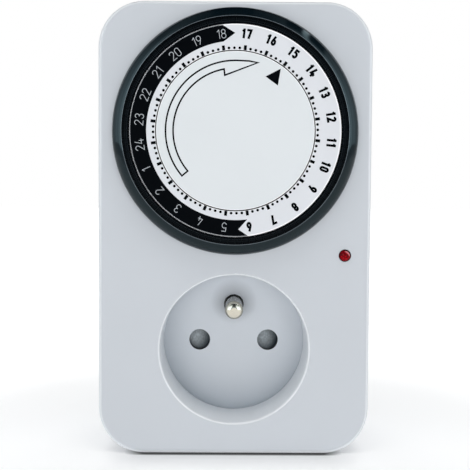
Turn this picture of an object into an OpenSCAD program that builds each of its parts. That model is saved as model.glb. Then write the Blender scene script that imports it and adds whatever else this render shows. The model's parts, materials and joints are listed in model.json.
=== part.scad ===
// Mechanical 24 hour plug-in timer: a turning dial with quarter-hour tabs above a round socket,
// and the matching plug behind that socket.
// X runs to the right seen from the front, Y from the front towards the plug, Z up.
// The origin is the centre of the flat base. "Depth" below always means millimetres behind the front face.

/* [Housing] */
// Housing on each side of the dial rim
side_margin = 3.8; // [3.4:0.1:6]
// Housing above the dial rim
top_margin = 2; // [1.6:0.1:5]
// Housing between the dial rim and the socket recess
dial_gap = 5.4; // [5:0.1:10]
// Housing below the socket recess
bottom_margin = 8.2; // [7.8:0.1:12]
// Free depth behind the supply strips
back_gap = 0.3; // [0.3:0.1:6]
// Depth at which the front and rear shells part
split_d = 22; // [21:0.5:24]
// Corner radius seen from the front
corner_r = 12; // [10:0.5:13]
// Rounding of the front and rear edges
edge_r = 1.4; // [0.8:0.1:1.8]
// Wall thickness of both shells
wall = 2; // [1.8:0.1:2.4]
// Distance of the housing screws from the sides, the base and the top
screw_edge = 8; // [7.5:0.5:9]

/* [Socket] */
// Radius of the round recess that takes the plug
recess_r = 19.5; // [19.5:0.1:20.5]
// Depth of the recess
recess_depth = 15; // [14:0.5:16]
// Thickness of the recess floor, a piece of its own
floor_t = 2.5; // [2:0.1:3]
// Wall thickness of the recess cup
cup_wall = 1.8; // [1.5:0.1:2.2]
// Rounding of the recess mouth
mouth_r = 0.5; // [0.3:0.1:0.8]
// Distance between the live and neutral pins
pin_pitch = 19; // [18.5:0.5:19.5]
// Radius of the two contact holes
contact_hole_r = 2.9; // [2.8:0.05:3.1]
// Height of the earth pin above the line of the contact holes
earth_rise = 10; // [9.5:0.5:10.5]
// Radius of the earth pin
earth_pin_r = 2.4; // [2.3:0.05:2.5]
// Length of the earth pin above the recess floor
earth_pin_len = 14; // [13:0.5:14.5]

/* [Plug] */
// Radius of the plug body
boss_r = 18.4; // [18:0.1:18.8]
// Length of the plug body behind the rear face
boss_len = 16; // [15:0.5:18]
// Thickness of the plug face that holds the pins
boss_face_t = 3; // [2.5:0.5:4]
// Wall thickness of the plug body
boss_wall = 3.4; // [3:0.1:3.6]
// Radius of the plug pins
plug_pin_r = 2.4; // [2.3:0.05:2.5]
// Length of the plug pins outside the plug face
plug_pin_len = 19; // [18.5:0.5:19.5]
// Width of the guide groove on each side of the plug body
guide_w = 5.4; // [5:0.2:6]
// Depth of the guide grooves
guide_d = 2; // [1.6:0.1:2.2]
// Width of the side earth clips
clip_w = 6; // [5:0.5:7]
// Thickness of the earth sheet metal
sheet_t = 0.8; // [0.7:0.1:1]

/* [Dial] */
// Outer radius of the dial rim
rim_r = 31.7; // [31.5:0.1:32.2]
// Radius of the rounded shoulder of the rim
rim_round = 3.2; // [3.1:0.1:3.4]
// Radial width of the rim
rim_w = 2.8; // [2.7:0.1:2.9]
// How far the dial stands in front of the housing
dial_proud = 4.2; // [4:0.1:4.6]
// Radial width of the printed hour ring, which leaves the rest to the centre disc
label_w = 6.5; // [6.2:0.1:6.8]
// Thickness of the printed hour ring
label_t = 0.3; // [0.2:0.1:0.4]
// How far the hour ring lies below the rim
label_drop = 0.2; // [0.1:0.05:0.3]
// Radial length of a quarter-hour tab
tab_len = 1.8; // [1.7:0.1:1.9]
// Height of a tab's head
tab_head_t = 1.8; // [1.6:0.1:2]
// How far a tab is pushed in
tab_travel = 2; // [1.8:0.1:2.2]
// Gap between one tab and the next
tab_gap = 0.1; // [0.06:0.02:0.14]

/* [Movement] */
// Thickness of the movement plate
plate_t = 1.6; // [1.4:0.1:2]
// Radius of the dial post
post_r = 2.6; // [2.4:0.1:2.8]
// Module of all gears
gear_module = 0.5; // [0.48:0.01:0.51]
// Thickness of the dial gear
dial_gear_t = 2; // [1.8:0.1:2.2]
// Thickness of the intermediate wheel
wheel_t = 1; // [0.8:0.1:1.2]
// Radius of the motor and its gearbox
motor_r = 20; // [19.5:0.1:20.2]
// Depth of the gearbox
gearbox_d = 6; // [5.5:0.5:6.5]
// Depth of the motor can
motor_d = 16; // [15:0.5:16.5]
// Radius of the rotor
rotor_r = 9; // [8.5:0.1:9.4]
// Length of the microswitch case
micro_len = 20; // [19:0.5:20.5]
// Width of the microswitch case
micro_w = 6.4; // [6:0.1:6.6]
// Depth of the microswitch case
micro_d = 10; // [9.5:0.5:10.5]

/* [Details] */
// Distance of the lamp from the side of the housing
lamp_side = 6.75; // [6.6:0.05:7.3]
// Height of the dial centre above the lamp
lamp_drop = 31.8; // [31.3:0.1:32.1]
// Radius of the lamp lens
lens_r = 1.58; // [1.5:0.02:1.7]
// Height of the dial centre above the override slide
slide_drop = 20.3; // [19.3:0.5:21.3]
// Travel of the override slide
slide_travel = 4; // [3.5:0.5:4]
// How far the override slide stands out of the side
slide_proud = 1.3; // [1:0.1:1.6]
// Travel of the shutter
shutter_travel = 6.5; // [6.2:0.1:6.8]

/* [Hidden] */
$fn = 64;
cut = 0.5;                    // how far cutting solids reach past a face
seat_gap = 0.05;              // clearance of fixed pieces in their seats
run_gap = 0.05;               // radial clearance of turning pieces
slip = 0.15;                  // clearance of sliding pieces
air = 0.3;                    // gap between moving and fixed pieces
join = 0.2;                   // how far two shapes of one piece run into each other

// The housing is as wide and as high as the dial and the socket with their margins
body_w = 2 * (rim_r + side_margin);
socket_z = bottom_margin + recess_r;
dial_z = socket_z + recess_r + dial_gap + rim_r;
body_h = dial_z + rim_r + top_margin;
screw_x = body_w / 2 - screw_edge;
lamp_x = body_w / 2 - lamp_side;
lamp_z = dial_z - lamp_drop;
slide_z = dial_z - slide_drop;
in_x = body_w / 2 - wall;
in_top = body_h - wall;
in_r = corner_r - wall;

// Depths of the socket's contacts; the housing is as deep as they need
cup_back = recess_depth + floor_t;
shutter_t = 4.5;
shutter_front = cup_back + air;
shutter_back = shutter_front + shutter_t;
sleeve_gap = 1.2;
sleeve_len = 11.6;
contact_t = 0.8;
board_t = 1;                  // insulating plate behind the contacts
sleeve_front = shutter_back + sleeve_gap;
sleeve_back = sleeve_front + sleeve_len;
base_back = sleeve_back + contact_t;
board_front = base_back;
board_back = board_front + board_t;
feed_front = board_back;
feed_back = feed_front + contact_t;
rear_in_d = feed_back + back_gap;
body_d = rear_in_d + wall;
front_y = -body_d / 2;

// Depths of the dial, from its front to the gear behind it
rim_top = -dial_proud;
label_top = rim_top + label_drop;
face_top = label_top + label_t;
face_t = 1.2;
tab_top = label_top + 0.1;
tab_head_bottom = tab_top + tab_head_t;
tab_floor = tab_head_bottom + tab_travel + 0.2;
tab_floor_t = 1.6;
tab_floor_bottom = tab_floor + tab_floor_t;
foot_rest = tab_floor_bottom + 1.4;
foot_pushed = foot_rest + tab_travel;
web_t = 1.2;
gear_front = foot_pushed + 0.1;
web_front = gear_front - web_t;
gear_back = gear_front + dial_gear_t;
wheel_front = gear_back + air;
wheel_back = wheel_front + wheel_t;
plate_front = wheel_back + 0.5;
plate_back = plate_front + plate_t;

// Radii of the dial
rim_in_r = rim_r - rim_w;
tab_out_r = rim_in_r - seat_gap;
tab_in_r = tab_out_r - tab_len;
label_r = tab_in_r - 0.15;
drum_r = label_r;
drum_wall = 1.2;
drum_in_r = label_r - label_w;
disc_r = drum_in_r - air;
skirt_r = drum_in_r + drum_wall;
neck_r = rim_in_r + 1;
dial_hole_r = neck_r + 0.5;
rim_base = -0.5;              // depth of the rim's rear edge, just clear of the front face
tab_count = 96;
tab_angle = 360 / tab_count;
tabs_per_hour = 4;
stem_len = 0.9;               // radial size of a tab's stem
stem_w = 0.8;                 // width of a tab's stem
foot_w = 1.5;                 // width of a tab's foot
foot_t = 1.1;                 // height of a tab's foot
stem_r = (tab_in_r + tab_out_r) / 2;
hub_r = post_r + 2.1;
hub_front = 0.5;
screw_neck_r = 1.5;           // neck of the dial post, inside the disc's sleeve
post_shoulder = 0.2;
rim_lap = 0.4;                // the drum's flange that the rim snaps behind

// Gear train
dial_teeth = 72;
wheel_teeth = 50;
pinion_teeth = 12;
drive_teeth = 10;
backlash = 0.12;
arbor_angle = 225;            // direction from the dial centre to the intermediate arbor
arbor_dist = gear_module * (dial_teeth + pinion_teeth) / 2;
arbor_x = arbor_dist * cos(arbor_angle);
arbor_z = dial_z + arbor_dist * sin(arbor_angle);
drive_angle = 20;             // direction from the arbor to the drive pinion
drive_dist = gear_module * (wheel_teeth + drive_teeth) / 2;
drive_x = arbor_x + drive_dist * cos(drive_angle);
drive_z = arbor_z + drive_dist * sin(drive_angle);
arbor_r = 0.8;
arbor_back = plate_back - 0.4;
drive_shaft_r = 1;

// Motor and gearbox
motor_gap = 1.8;              // from the motor to the microswitch
motor_rise = 1.7;             // height of the motor's centre above the dial's
motor_z = dial_z + motor_rise;
gearbox_back = plate_back + gearbox_d;
motor_back = gearbox_back + motor_d;
post_spread = 0.75;           // place of the rear shell's motor posts, as a share of the motor's radius
post_end_r = 2;
can_t = 0.8;
gearbox_wall = 1.2;
rotor_t = 8;
rotor_shaft_r = 0.8;
bobbin_r = rotor_r + 1.6;
bobbin_t = 1;
collar_h = 3;
collar_t = 1.2;

// Switch parts, on the pointer's line where two tabs meet
pointer_angle = 37.5;         // clockwise from the top
micro_x = stem_r * sin(pointer_angle);
micro_z = dial_z + stem_r * cos(pointer_angle);
motor_x = micro_x - micro_w / 2 - motor_gap - motor_r;
follower_travel = 0.8;
nose_reach = 0.5;             // how far a pushed tab's foot lifts the follower
nose_tip = foot_pushed - nose_reach;
nose_tip_w = 0.12;
nose_w = 3;
nose_len = 2.4;
flange_t = 0.6;
flange_w = 4.2;
flange_front = plate_back + slip;
flange_back = flange_front + flange_t;
micro_front = flange_back + follower_travel + 0.2;
micro_back = micro_front + micro_d;
micro_top = micro_z + 7;
micro_wall = 0.8;
plunger_r = 0.9;
terminal_t = 0.5;
terminal_w = 3;
terminal_out = 5;             // how far the terminals stand out behind the case
terminal_side = 3;            // height of the outer terminals' centres from the case's ends
blade_t = 0.3;
contact_gap = 1.2;            // gap that the blade closes
terminal_end = micro_back + terminal_out;
terminal_heights = [micro_top - micro_len + terminal_side, micro_top - terminal_side];
blade_front = micro_front + micro_wall + 1.2;
blade_w = 3.2;
blade_foot = terminal_heights[0] + terminal_t / 2 + seat_gap;

// Socket, contacts and plug
cup_r = recess_r + cup_wall;
floor_seat = cup_wall / 2;    // ledge in the cup's wall that the floor sits against
earth_z = socket_z + earth_rise;
earth_tip = recess_depth - earth_pin_len;
pin_x = pin_pitch / 2;
shutter_back_t = 1.4;         // thickness of the bar that joins the two ramps
ramp_w = 2 * contact_hole_r + 1.2;
shutter_h = 7.4;
shutter_w = 2 * (pin_x + contact_hole_r + 0.6);
rail_t = 1.2;
rail_lip = 0.8;               // how far the rails reach behind the shutter
rail_top = socket_z + shutter_h / 2;
rail_bottom = socket_z - shutter_h / 2 - shutter_travel - 3;
rail_back = shutter_back + 0.9;
spring_r = 1.1;
spring_wire_r = 0.15;
spring_turns = 7;
spring_d = shutter_back - 2;
sleeve_in_r = plug_pin_r + 0.1;
sleeve_t = 0.7;
strip_w = 4;
board_edge = 7;               // how far the insulating plate reaches past the pins
shank_r = 1.75;
boss_face = body_d + boss_len;
boss_in = boss_face - boss_face_t;
boss_in_r = boss_r - boss_wall;
pin_root_r = 2.9;             // radius of a pin's root inside the plug face
collar_r = 3.8;
pin_collar_t = 1;
pin_seat_t = 3;               // how far the plug face's pads stand out inside, behind each collar
pin_tip = boss_face + plug_pin_len;
pin_round = 1.6;
earth_root_r = 2.2;
earth_round = 1.7;
bracket_front = body_d + 1;
bracket_back = bracket_front + sheet_t;
receptacle_r = earth_pin_r + 0.05;
receptacle_t = 0.8;
receptacle_out = receptacle_r + receptacle_t;
receptacle_back = boss_face - 0.6;
clip_rise = 0.2;              // how far the side clips stand out of their grooves
clip_outer = boss_r - 0.2;
clip_slot = sheet_t + clip_rise;
clip_end = boss_face - 1;

// Housing details
boss_screw_r = 3.1;
shoulder_r = 4.4;
screw_r = 1.45;
screw_head_r = 2.8;
screw_head_t = 2;
cross_w = 0.7;
head_seat = body_d - 6;
screw_tip = 11.5;
lip_h = 2;
lip_t = 1;
relief_w = 0.6;               // shallow groove in the rear face, round the plug body
relief_d = 0.3;
plate_recess = 0.3;           // bare recess for a rating plate on the rear face
plate_recess_w = 38;
plate_recess_h = 26;
plate_recess_z = dial_z - 16.3;
groove_w = 0.4;
groove_d = 0.3;
foot_x = body_w / 2 - 12.5;   // lower fixing screws of the movement plate
foot_z = dial_z - 28.8;
plate_bottom = socket_z + cup_r + 0.6;
plate_gap = 1;                // gap between the movement plate and the housing's walls
tap_r = 1.2;
tap_head_r = 2.4;
tap_head_t = 1.6;
tap_tip = 4;

// Override slide
slide_d = split_d - 1.5;
slide_stem_w = 2.6;
slide_stem_h = 5;
slide_w = 6;
slide_h = 8;
slide_plate_t = 1.5;
slide_plate_h = 12;
slide_plate_x = in_x - 0.15;
bridge_t = 0.5;
bridge_x = slide_plate_x - slide_plate_t;
stud_t = 0.7;
stud_x = bridge_x - bridge_t - 0.1;
backing_x = stud_x - stud_t;
backing_t = 1.5;
feed_x = in_x - 11.5;
switched_x = in_x - 6;
strip_front = terminal_end + 0.02;
stud_front = slide_d - 2.5;
stud_h = 2.5;
lower_stud_z = slide_z - 4;
upper_stud_z = slide_z + 6.5;

// Lamp
lens_proud = 1;
bulb_r = 2;
bulb_len = 9;
lens_flange_r = 2.6;
lens_flange_t = 0.8;
bulb_back = wall + lens_flange_t + bulb_len;
dome_r = (lens_r * lens_r + lens_proud * lens_proud) / (2 * lens_proud);
dome_d = dome_r - lens_proud;

// Leads
lead_r = 0.5;
lead_seat = sleeve_in_r + sleeve_t + lead_r + 0.1;  // from a contact's middle to a lead's end
resistor_r = 1.2;
resistor_len = 7;
resistor_x = 5;
resistor_d = 24;
resistor_z = plate_bottom + 1.6;

// Colours
shell_colour = [0.83, 0.85, 0.88];
black_colour = [0.06, 0.07, 0.08];
brass_colour = [0.78, 0.64, 0.36];
steel_colour = [0.72, 0.72, 0.70];
nickel_colour = [0.78, 0.76, 0.70];
copper_colour = [0.72, 0.42, 0.24];

HOURS = ["01", "02", "03", "04", "05", "06", "07", "08", "09", "10", "11", "12",
         "13", "14", "15", "16", "17", "18", "19", "20", "21", "22", "23", "24"];
function tab_node(hour) = str("tabs_hour_", HOURS[hour - 1]);

// ---- Drawing helpers ----

// A flat shape drawn as seen from the front, between two depths
module slab(d0, d1) {
    translate([0, front_y + d1, 0])
        rotate([90, 0, 0])
            linear_extrude(d1 - d0)
                children();
}

// A shape turned about the depth axis through x, z; its profile is drawn as [radius, depth]
module turned(x, z) {
    translate([x, front_y, z])
        rotate([-90, 0, 0])
            rotate_extrude()
                children();
}

// One step of a turned profile
module band(r0, r1, d0, d1) {
    translate([r0, d0])
        square([r1 - r0, d1 - d0]);
}

// A round rod or drill along the depth
module rod(x, z, r, d0, d1) {
    translate([x, front_y + d0, z])
        rotate([-90, 0, 0])
            cylinder(r = r, h = d1 - d0);
}

// A block between side positions, depths and heights
module block(x0, x1, d0, d1, z0, z1) {
    translate([x0, front_y + d0, z0])
        cube([x1 - x0, d1 - d0, z1 - z0]);
}

module rect(x0, x1, z0, z1) {
    translate([x0, z0])
        square([x1 - x0, z1 - z0]);
}

// A rectangle with round corners, centred on x = 0 and standing on z0
module round_rect(w, z0, z1, r) {
    rect(-w / 2 + r, w / 2 - r, z0, z1);
    rect(-w / 2, w / 2, z0 + r, z1 - r);
    for (x = [-w / 2 + r, w / 2 - r], z = [z0 + r, z1 - r])
        translate([x, z])
            circle(r);
}

function unit(v) = v / norm(v);

// Corners of a tube about one of its points, square to its direction
function tube_ring(p, dir, r, sides, ref) =
    let (u = unit(cross(dir, ref)), v = cross(dir, u))
        [for (k = [0:sides - 1])
            p + r * (cos(360 * k / sides) * u + sin(360 * k / sides) * v)];

// A tube along points; ref is any direction that it never runs in
module tube(points, r, sides, ref) {
    end = len(points) - 1;
    last = sides * end;
    corners = [for (i = [0:end])
        each tube_ring(points[i], unit(points[min(i + 1, end)] - points[max(i - 1, 0)]), r, sides, ref)];
    skin = [for (i = [0:end - 1], k = [0:sides - 1])
        let (a = sides * i + k, b = sides * i + (k + 1) % sides)
            each [[a, a + sides, b], [b, a + sides, b + sides]]];
    caps = [for (k = [1:sides - 2]) each [[0, k, k + 1], [last, last + k + 1, last + k]]];
    polyhedron(corners, concat(skin, caps));
}

// Places a shape at the four housing screws
module at_housing_screws() {
    for (x = [-screw_x, screw_x], z = [screw_edge, body_h - screw_edge])
        translate([x, 0, z])
            children();
}

// Points of an involute tooth flank, from the root circle to the tip circle
function involute_angle(r, base_r) = r <= base_r ? 0
    : sqrt(r * r / (base_r * base_r) - 1) * 180 / PI - acos(base_r / r);

// Outline of a spur gear with its first tooth centred on the x axis
module gear_outline(teeth) {
    pitch_r = gear_module * teeth / 2;
    tip_r = pitch_r + 0.8 * gear_module;
    root_r = pitch_r - 1.05 * gear_module;
    base_r = pitch_r * cos(25);
    half = 90 / teeth - backlash / 2 / pitch_r * 180 / PI + involute_angle(pitch_r, base_r);
    radii = [root_r, max(root_r + 0.01, base_r), pitch_r, tip_r];
    flank = [for (r = radii) [r, half - involute_angle(r, base_r)]];
    polygon([for (k = [0:teeth - 1])
        for (side = [-1, 1])
            for (i = side < 0 ? [0:3] : [3:-1:0])
                let (a = 360 / teeth * k + side * flank[i][1])
                    flank[i][0] * [cos(a), sin(a)]]);
}

// A spur gear about a depth axis, with one tooth towards phase
module gear(x, z, teeth, phase, d0, d1) {
    slab(d0, d1)
        translate([x, z])
            rotate(phase)
                gear_outline(teeth);
}

// ---- Housing ----

// Solid rounded block of the housing's outline, its rounded edge at depth 0, reaching back by d
module housing_block(d) {
    translate([0, 0, corner_r])
        linear_extrude(body_h - 2 * corner_r)
            union() {
                translate([-body_w / 2, edge_r])
                    square([body_w, d - edge_r]);
                translate([-body_w / 2 + edge_r, 0])
                    square([body_w - 2 * edge_r, d]);
                for (x = [-body_w / 2 + edge_r, body_w / 2 - edge_r])
                    translate([x, edge_r])
                        circle(edge_r);
            }
    for (top = [0, 1])
        translate([0, 0, top * body_h])
            mirror([0, 0, top])
                end_block(d);
}

// The bottom end of the housing block: a straight stretch and two turned corners
module end_block(d) {
    flat = body_w / 2 - corner_r;
    translate([-flat, 0, 0])
        rotate([90, 0, 90])
            linear_extrude(2 * flat)
                end_profile(d);
    for (side = [0, 1])
        mirror([side, 0, 0])
            translate([flat, 0, corner_r])
                rotate([-90, 0, 0])
                    rotate_extrude(angle = 90)
                        corner_profile(d);
}

module end_profile(d) {
    translate([edge_r, 0])
        square([d - edge_r, corner_r]);
    translate([0, edge_r])
        square([d, corner_r - edge_r]);
    translate([edge_r, edge_r])
        circle(edge_r);
}

module corner_profile(d) {
    translate([0, edge_r])
        square([corner_r, d - edge_r]);
    square([corner_r - edge_r, d]);
    translate([corner_r - edge_r, edge_r])
        circle(edge_r);
}

module inner_outline(gap = 0) {
    round_rect(body_w - 2 * wall - 2 * gap, wall + gap, in_top - gap, in_r - gap);
}

// The notch in the side wall that the override slide's stem runs in
module slide_notch() {
    block(in_x - cut - lip_t, body_w / 2 + cut, slide_d - slide_stem_w / 2 - slip, split_d,
        slide_z - slide_stem_h / 2 - slip, slide_z + slide_travel + slide_stem_h / 2 + slip);
}

module front_shell() {
    color(shell_colour)
        difference() {
            union() {
                difference() {
                    translate([0, front_y, 0])
                        housing_block(split_d);
                    slab(wall, split_d + cut)
                        inner_outline();
                    rod(0, dial_z, dial_hole_r, -cut, wall + cut);
                }
                rod(0, socket_z, cup_r, wall - join, cup_back);
                at_housing_screws()
                    rod(0, 0, boss_screw_r, wall - join, split_d - slip);
                for (x = [-screw_x, screw_x])
                    rod(x, body_h - screw_edge, shoulder_r, wall - join, plate_front);
                for (x = [-foot_x, foot_x])
                    rod(x, foot_z, boss_screw_r, wall - join, plate_front);
            }
            turned(0, socket_z)
                recess_profile();
            at_housing_screws()
                rod(0, 0, screw_r + seat_gap, screw_tip - 1, split_d + cut);
            for (x = [-foot_x, foot_x])
                rod(x, foot_z, tap_r + seat_gap, tap_tip - 0.5, plate_front + cut);
            rod(lamp_x, lamp_z, lens_r + seat_gap, -cut, wall + cut);
            slide_notch();
        }
}

// Half section of the recess, with a round mouth and the wider seat of its floor
module recess_profile() {
    difference() {
        union() {
            band(0, recess_r, -cut, cup_back + cut);
            band(0, recess_r + floor_seat, recess_depth, cup_back + cut);
            band(recess_r - cut, recess_r + mouth_r, -cut, mouth_r);
        }
        translate([recess_r + mouth_r, mouth_r])
            circle(mouth_r);
    }
}

// The recess floor, with the contact holes, the earth pin's hole and the shutter's rails behind it
module socket_floor() {
    color(shell_colour)
        difference() {
            union() {
                rod(0, socket_z, recess_r + floor_seat - seat_gap, recess_depth, cup_back);
                shutter_rails();
            }
            for (x = [-pin_x, pin_x])
                rod(x, socket_z, contact_hole_r, recess_depth - cut, cup_back + cut);
            rod(0, earth_z, earth_pin_r + slip, recess_depth - cut, cup_back + cut);
        }
}

// Two rails behind the floor that guide the shutter, and the stop that its spring stands on
module shutter_rails() {
    rail_x = shutter_w / 2 + slip;
    for (side = [0, 1])
        mirror([side, 0, 0]) {
            block(rail_x, rail_x + rail_t, cup_back, rail_back, rail_bottom, rail_top);
            block(rail_x - rail_lip, rail_x + rail_t, shutter_back + 0.2, rail_back, rail_bottom, rail_top);
        }
    block(-rail_x - rail_t, rail_x + rail_t, cup_back, rail_back, rail_bottom - rail_t, rail_bottom);
}

module rear_shell() {
    color(shell_colour)
        difference() {
            union() {
                difference() {
                    union() {
                        translate([0, front_y + body_d, 0])
                            mirror([0, 1, 0])
                                housing_block(body_d - split_d);
                        rod(0, socket_z, boss_r, rear_in_d, boss_face);
                    }
                    slab(split_d - cut, rear_in_d)
                        inner_outline();
                    rod(0, socket_z, boss_in_r, rear_in_d - cut, boss_in);
                }
                locating_lip();
                at_housing_screws()
                    rod(0, 0, boss_screw_r, split_d, rear_in_d + join);
                motor_posts();
                for (x = [-pin_x, pin_x])
                    rod(x, socket_z, collar_r + 1, boss_in - pin_seat_t, boss_in + join);
            }
            at_housing_screws() {
                rod(0, 0, screw_r + slip, split_d - cut, body_d + cut);
                rod(0, 0, screw_head_r + slip, head_seat, body_d + cut);
            }
            for (x = [-pin_x, pin_x])
                rod(x, socket_z, pin_root_r + seat_gap, boss_in - pin_seat_t - cut, boss_face + cut);
            rod(0, earth_z, receptacle_out + seat_gap, boss_in - 5, boss_face + cut);
            for (side = [0, 1])
                mirror([side, 0, 0])
                    block(boss_r - guide_d, boss_r + relief_w / 2, body_d - relief_d, boss_face + cut,
                        socket_z - guide_w / 2, socket_z + guide_w / 2);
            turned(0, socket_z)
                band(boss_r, boss_r + relief_w, body_d - relief_d, body_d + cut);
            for (side = [-1, 1])
                clip_groove(side);
            parting_groove();
            slab(rear_in_d + wall - plate_recess, body_d + cut)
                round_rect(plate_recess_w, plate_recess_z, plate_recess_z + plate_recess_h, 2);
        }
}

// The lip inside the front shell's edge that keeps the shells in line
module locating_lip() {
    difference() {
        slab(split_d - lip_h, split_d + lip_h)
            difference() {
                inner_outline(slip);
                inner_outline(slip + lip_t);
            }
        slide_space();
    }
    difference() {
        slab(split_d + groove_w, split_d + lip_h)
            difference() {
                round_rect(body_w - wall, wall / 2, body_h - wall / 2, corner_r - wall / 2);
                inner_outline(slip + lip_t);
            }
        slide_space();
    }
}

// Room that the lip leaves for the override slide's plate
module slide_space() {
    block(in_x - 4, in_x, split_d - lip_h - cut, split_d + lip_h + cut, slide_z - slide_plate_h / 2 - 1,
        slide_z + slide_travel + slide_plate_h / 2 + 1);
}

// Three posts that press the motor onto the movement plate
module motor_posts() {
    for (a = [90, 210, 330])
        rod(motor_x + post_spread * motor_r * cos(a), motor_z + post_spread * motor_r * sin(a), post_end_r,
            motor_back, rear_in_d + join);
}

// Shallow groove round the housing where the shells meet
module parting_groove() {
    slab(split_d - cut, split_d + groove_w)
        difference() {
            round_rect(body_w + 2, -1, body_h + 1, corner_r + 1);
            round_rect(body_w - 2 * groove_d, groove_d, body_h - groove_d, corner_r - groove_d);
        }
}

// Groove along the plug body and the slot through its wall, for one side earth clip
module clip_groove(side) {
    z_out = socket_z + side * (clip_outer - clip_slot + boss_r + 1) / 2;
    h = boss_r + 1 - clip_outer + clip_slot;
    block(-clip_w / 2 - seat_gap, clip_w / 2 + seat_gap, bracket_front - seat_gap, clip_end + seat_gap,
        z_out - h / 2, z_out + h / 2);
    z_mid = socket_z + side * (boss_in_r + boss_r) / 2;
    block(-clip_w / 2 - seat_gap, clip_w / 2 + seat_gap, bracket_front - seat_gap, bracket_back + seat_gap,
        z_mid - boss_wall, z_mid + boss_wall);
}

// A cross-head screw with its head towards the back
module screw(r, head_r, head_t, tip, seat) {
    difference() {
        union() {
            rod(0, 0, r, tip, seat);
            rod(0, 0, head_r, seat, seat + head_t);
        }
        for (a = [0, 90])
            rotate([0, a, 0])
                block(-0.57 * head_r, 0.57 * head_r, seat + head_t / 2, seat + head_t + cut,
                    -cross_w / 2, cross_w / 2);
    }
}

// Four screws that hold the shells together, and two that hold the movement plate
module screws() {
    color(steel_colour) {
        at_housing_screws()
            screw(screw_r, screw_head_r, screw_head_t, screw_tip, head_seat);
        for (x = [-foot_x, foot_x])
            translate([x, 0, foot_z])
                screw(tap_r, tap_head_r, tap_head_t, tap_tip, plate_back);
    }
}

// ---- Dial ----

// Drum with the face that carries the hour ring, the web, the hub and the dial gear
module dial_drum() {
    color(black_colour)
        difference() {
            union() {
                turned(0, dial_z) {
                    band(drum_in_r, drum_r, face_top, face_top + face_t);
                    band(drum_in_r, skirt_r, face_top, gear_front);
                    band(drum_r - drum_wall, drum_r, face_top, tab_floor_bottom);
                    band(drum_r - drum_wall, drum_r + rim_lap,
                        tab_floor_bottom, tab_floor_bottom + 2 * rim_lap);
                    band(post_r + run_gap, skirt_r, web_front, gear_front);
                    band(post_r + run_gap, hub_r, hub_front, gear_back + 0.1);
                }
                gear(0, dial_z, dial_teeth, arbor_angle, gear_front - 0.1, gear_back);
            }
            rod(0, dial_z, post_r + run_gap, hub_front - cut, gear_back + cut);
        }
}

// Outer ring with its round shoulder, and the slotted floor that guides the tabs
module dial_rim() {
    color(black_colour)
        difference() {
            turned(0, dial_z) {
                intersection() {
                    translate([rim_r - rim_round, rim_top + rim_round])
                        circle(rim_round);
                    band(rim_in_r, rim_r, rim_top, rim_top + rim_round);
                }
                band(rim_in_r, rim_r, rim_top + rim_round, rim_base);
                band(rim_in_r, neck_r, rim_top + rim_round, tab_floor_bottom);
                band(drum_r + seat_gap, neck_r, tab_floor, tab_floor_bottom);
            }
            for (k = [0:tab_count - 1])
                translate([0, 0, dial_z])
                    rotate([0, (k + 0.5) * tab_angle, 0])
                        block(-stem_w / 2 - tab_gap, stem_w / 2 + tab_gap,
                            tab_floor - cut, tab_floor_bottom + cut,
                            stem_r - stem_len / 2 - tab_gap, stem_r + stem_len / 2 + tab_gap);
        }
}

module dial_label() {
    color([0.88, 0.9, 0.92])
        turned(0, dial_z)
            band(drum_in_r, label_r, label_top, face_top);
}

// The fixed disc in the middle of the dial, on its own sleeve
module centre_disc() {
    sleeve_out = post_r + 0.6;
    color([0.89, 0.91, 0.92])
        turned(0, dial_z) {
            band(0, disc_r, label_top, label_top + 1);
            band(disc_r - 0.8, disc_r, label_top, label_top + 2);
            band(screw_neck_r + seat_gap, sleeve_out, label_top + 1, post_shoulder);
        }
}

// One tab, seen at the top of the dial: head, stem through the rim's floor, and foot
module tab() {
    in_w = tab_in_r * tan(tab_angle / 2) - tab_gap / 2;
    out_w = tab_out_r * tan(tab_angle / 2) - tab_gap / 2;
    step_r = tab_in_r + 0.6;
    step_w = step_r * tan(tab_angle / 2) - tab_gap / 2;
    slab(tab_top + 0.2, tab_head_bottom)
        polygon([[-in_w, tab_in_r], [in_w, tab_in_r], [out_w, tab_out_r - 0.02], [-out_w, tab_out_r - 0.02]]);
    slab(tab_top, tab_top + 0.3)
        polygon([[-step_w, step_r], [step_w, step_r], [out_w, tab_out_r - 0.02], [-out_w, tab_out_r - 0.02]]);
    block(-stem_w / 2, stem_w / 2, tab_head_bottom - 0.1, foot_rest - foot_t + 0.1,
        stem_r - stem_len / 2, stem_r + stem_len / 2);
    translate([0, front_y, stem_r - stem_len / 2])
        linear_extrude(stem_len)
            polygon([[-foot_w / 2, foot_rest - foot_t], [foot_w / 2, foot_rest - foot_t],
                [foot_w / 2, foot_rest - 0.5], [foot_w / 2 - 0.5, foot_rest],
                [0.5 - foot_w / 2, foot_rest], [-foot_w / 2, foot_rest - 0.5]]);
}

// The four tabs of one hour; hour 17 starts 7.5 degrees right of the top and the hours run anticlockwise
module tabs_hour(hour) {
    start = (17 - hour) * 15 + 7.5;
    color(black_colour)
        for (quarter = [0:tabs_per_hour - 1])
            translate([0, 0, dial_z])
                rotate([0, start - (quarter + 0.5) * tab_angle, 0])
                    tab();
}

// ---- Movement ----

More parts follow.
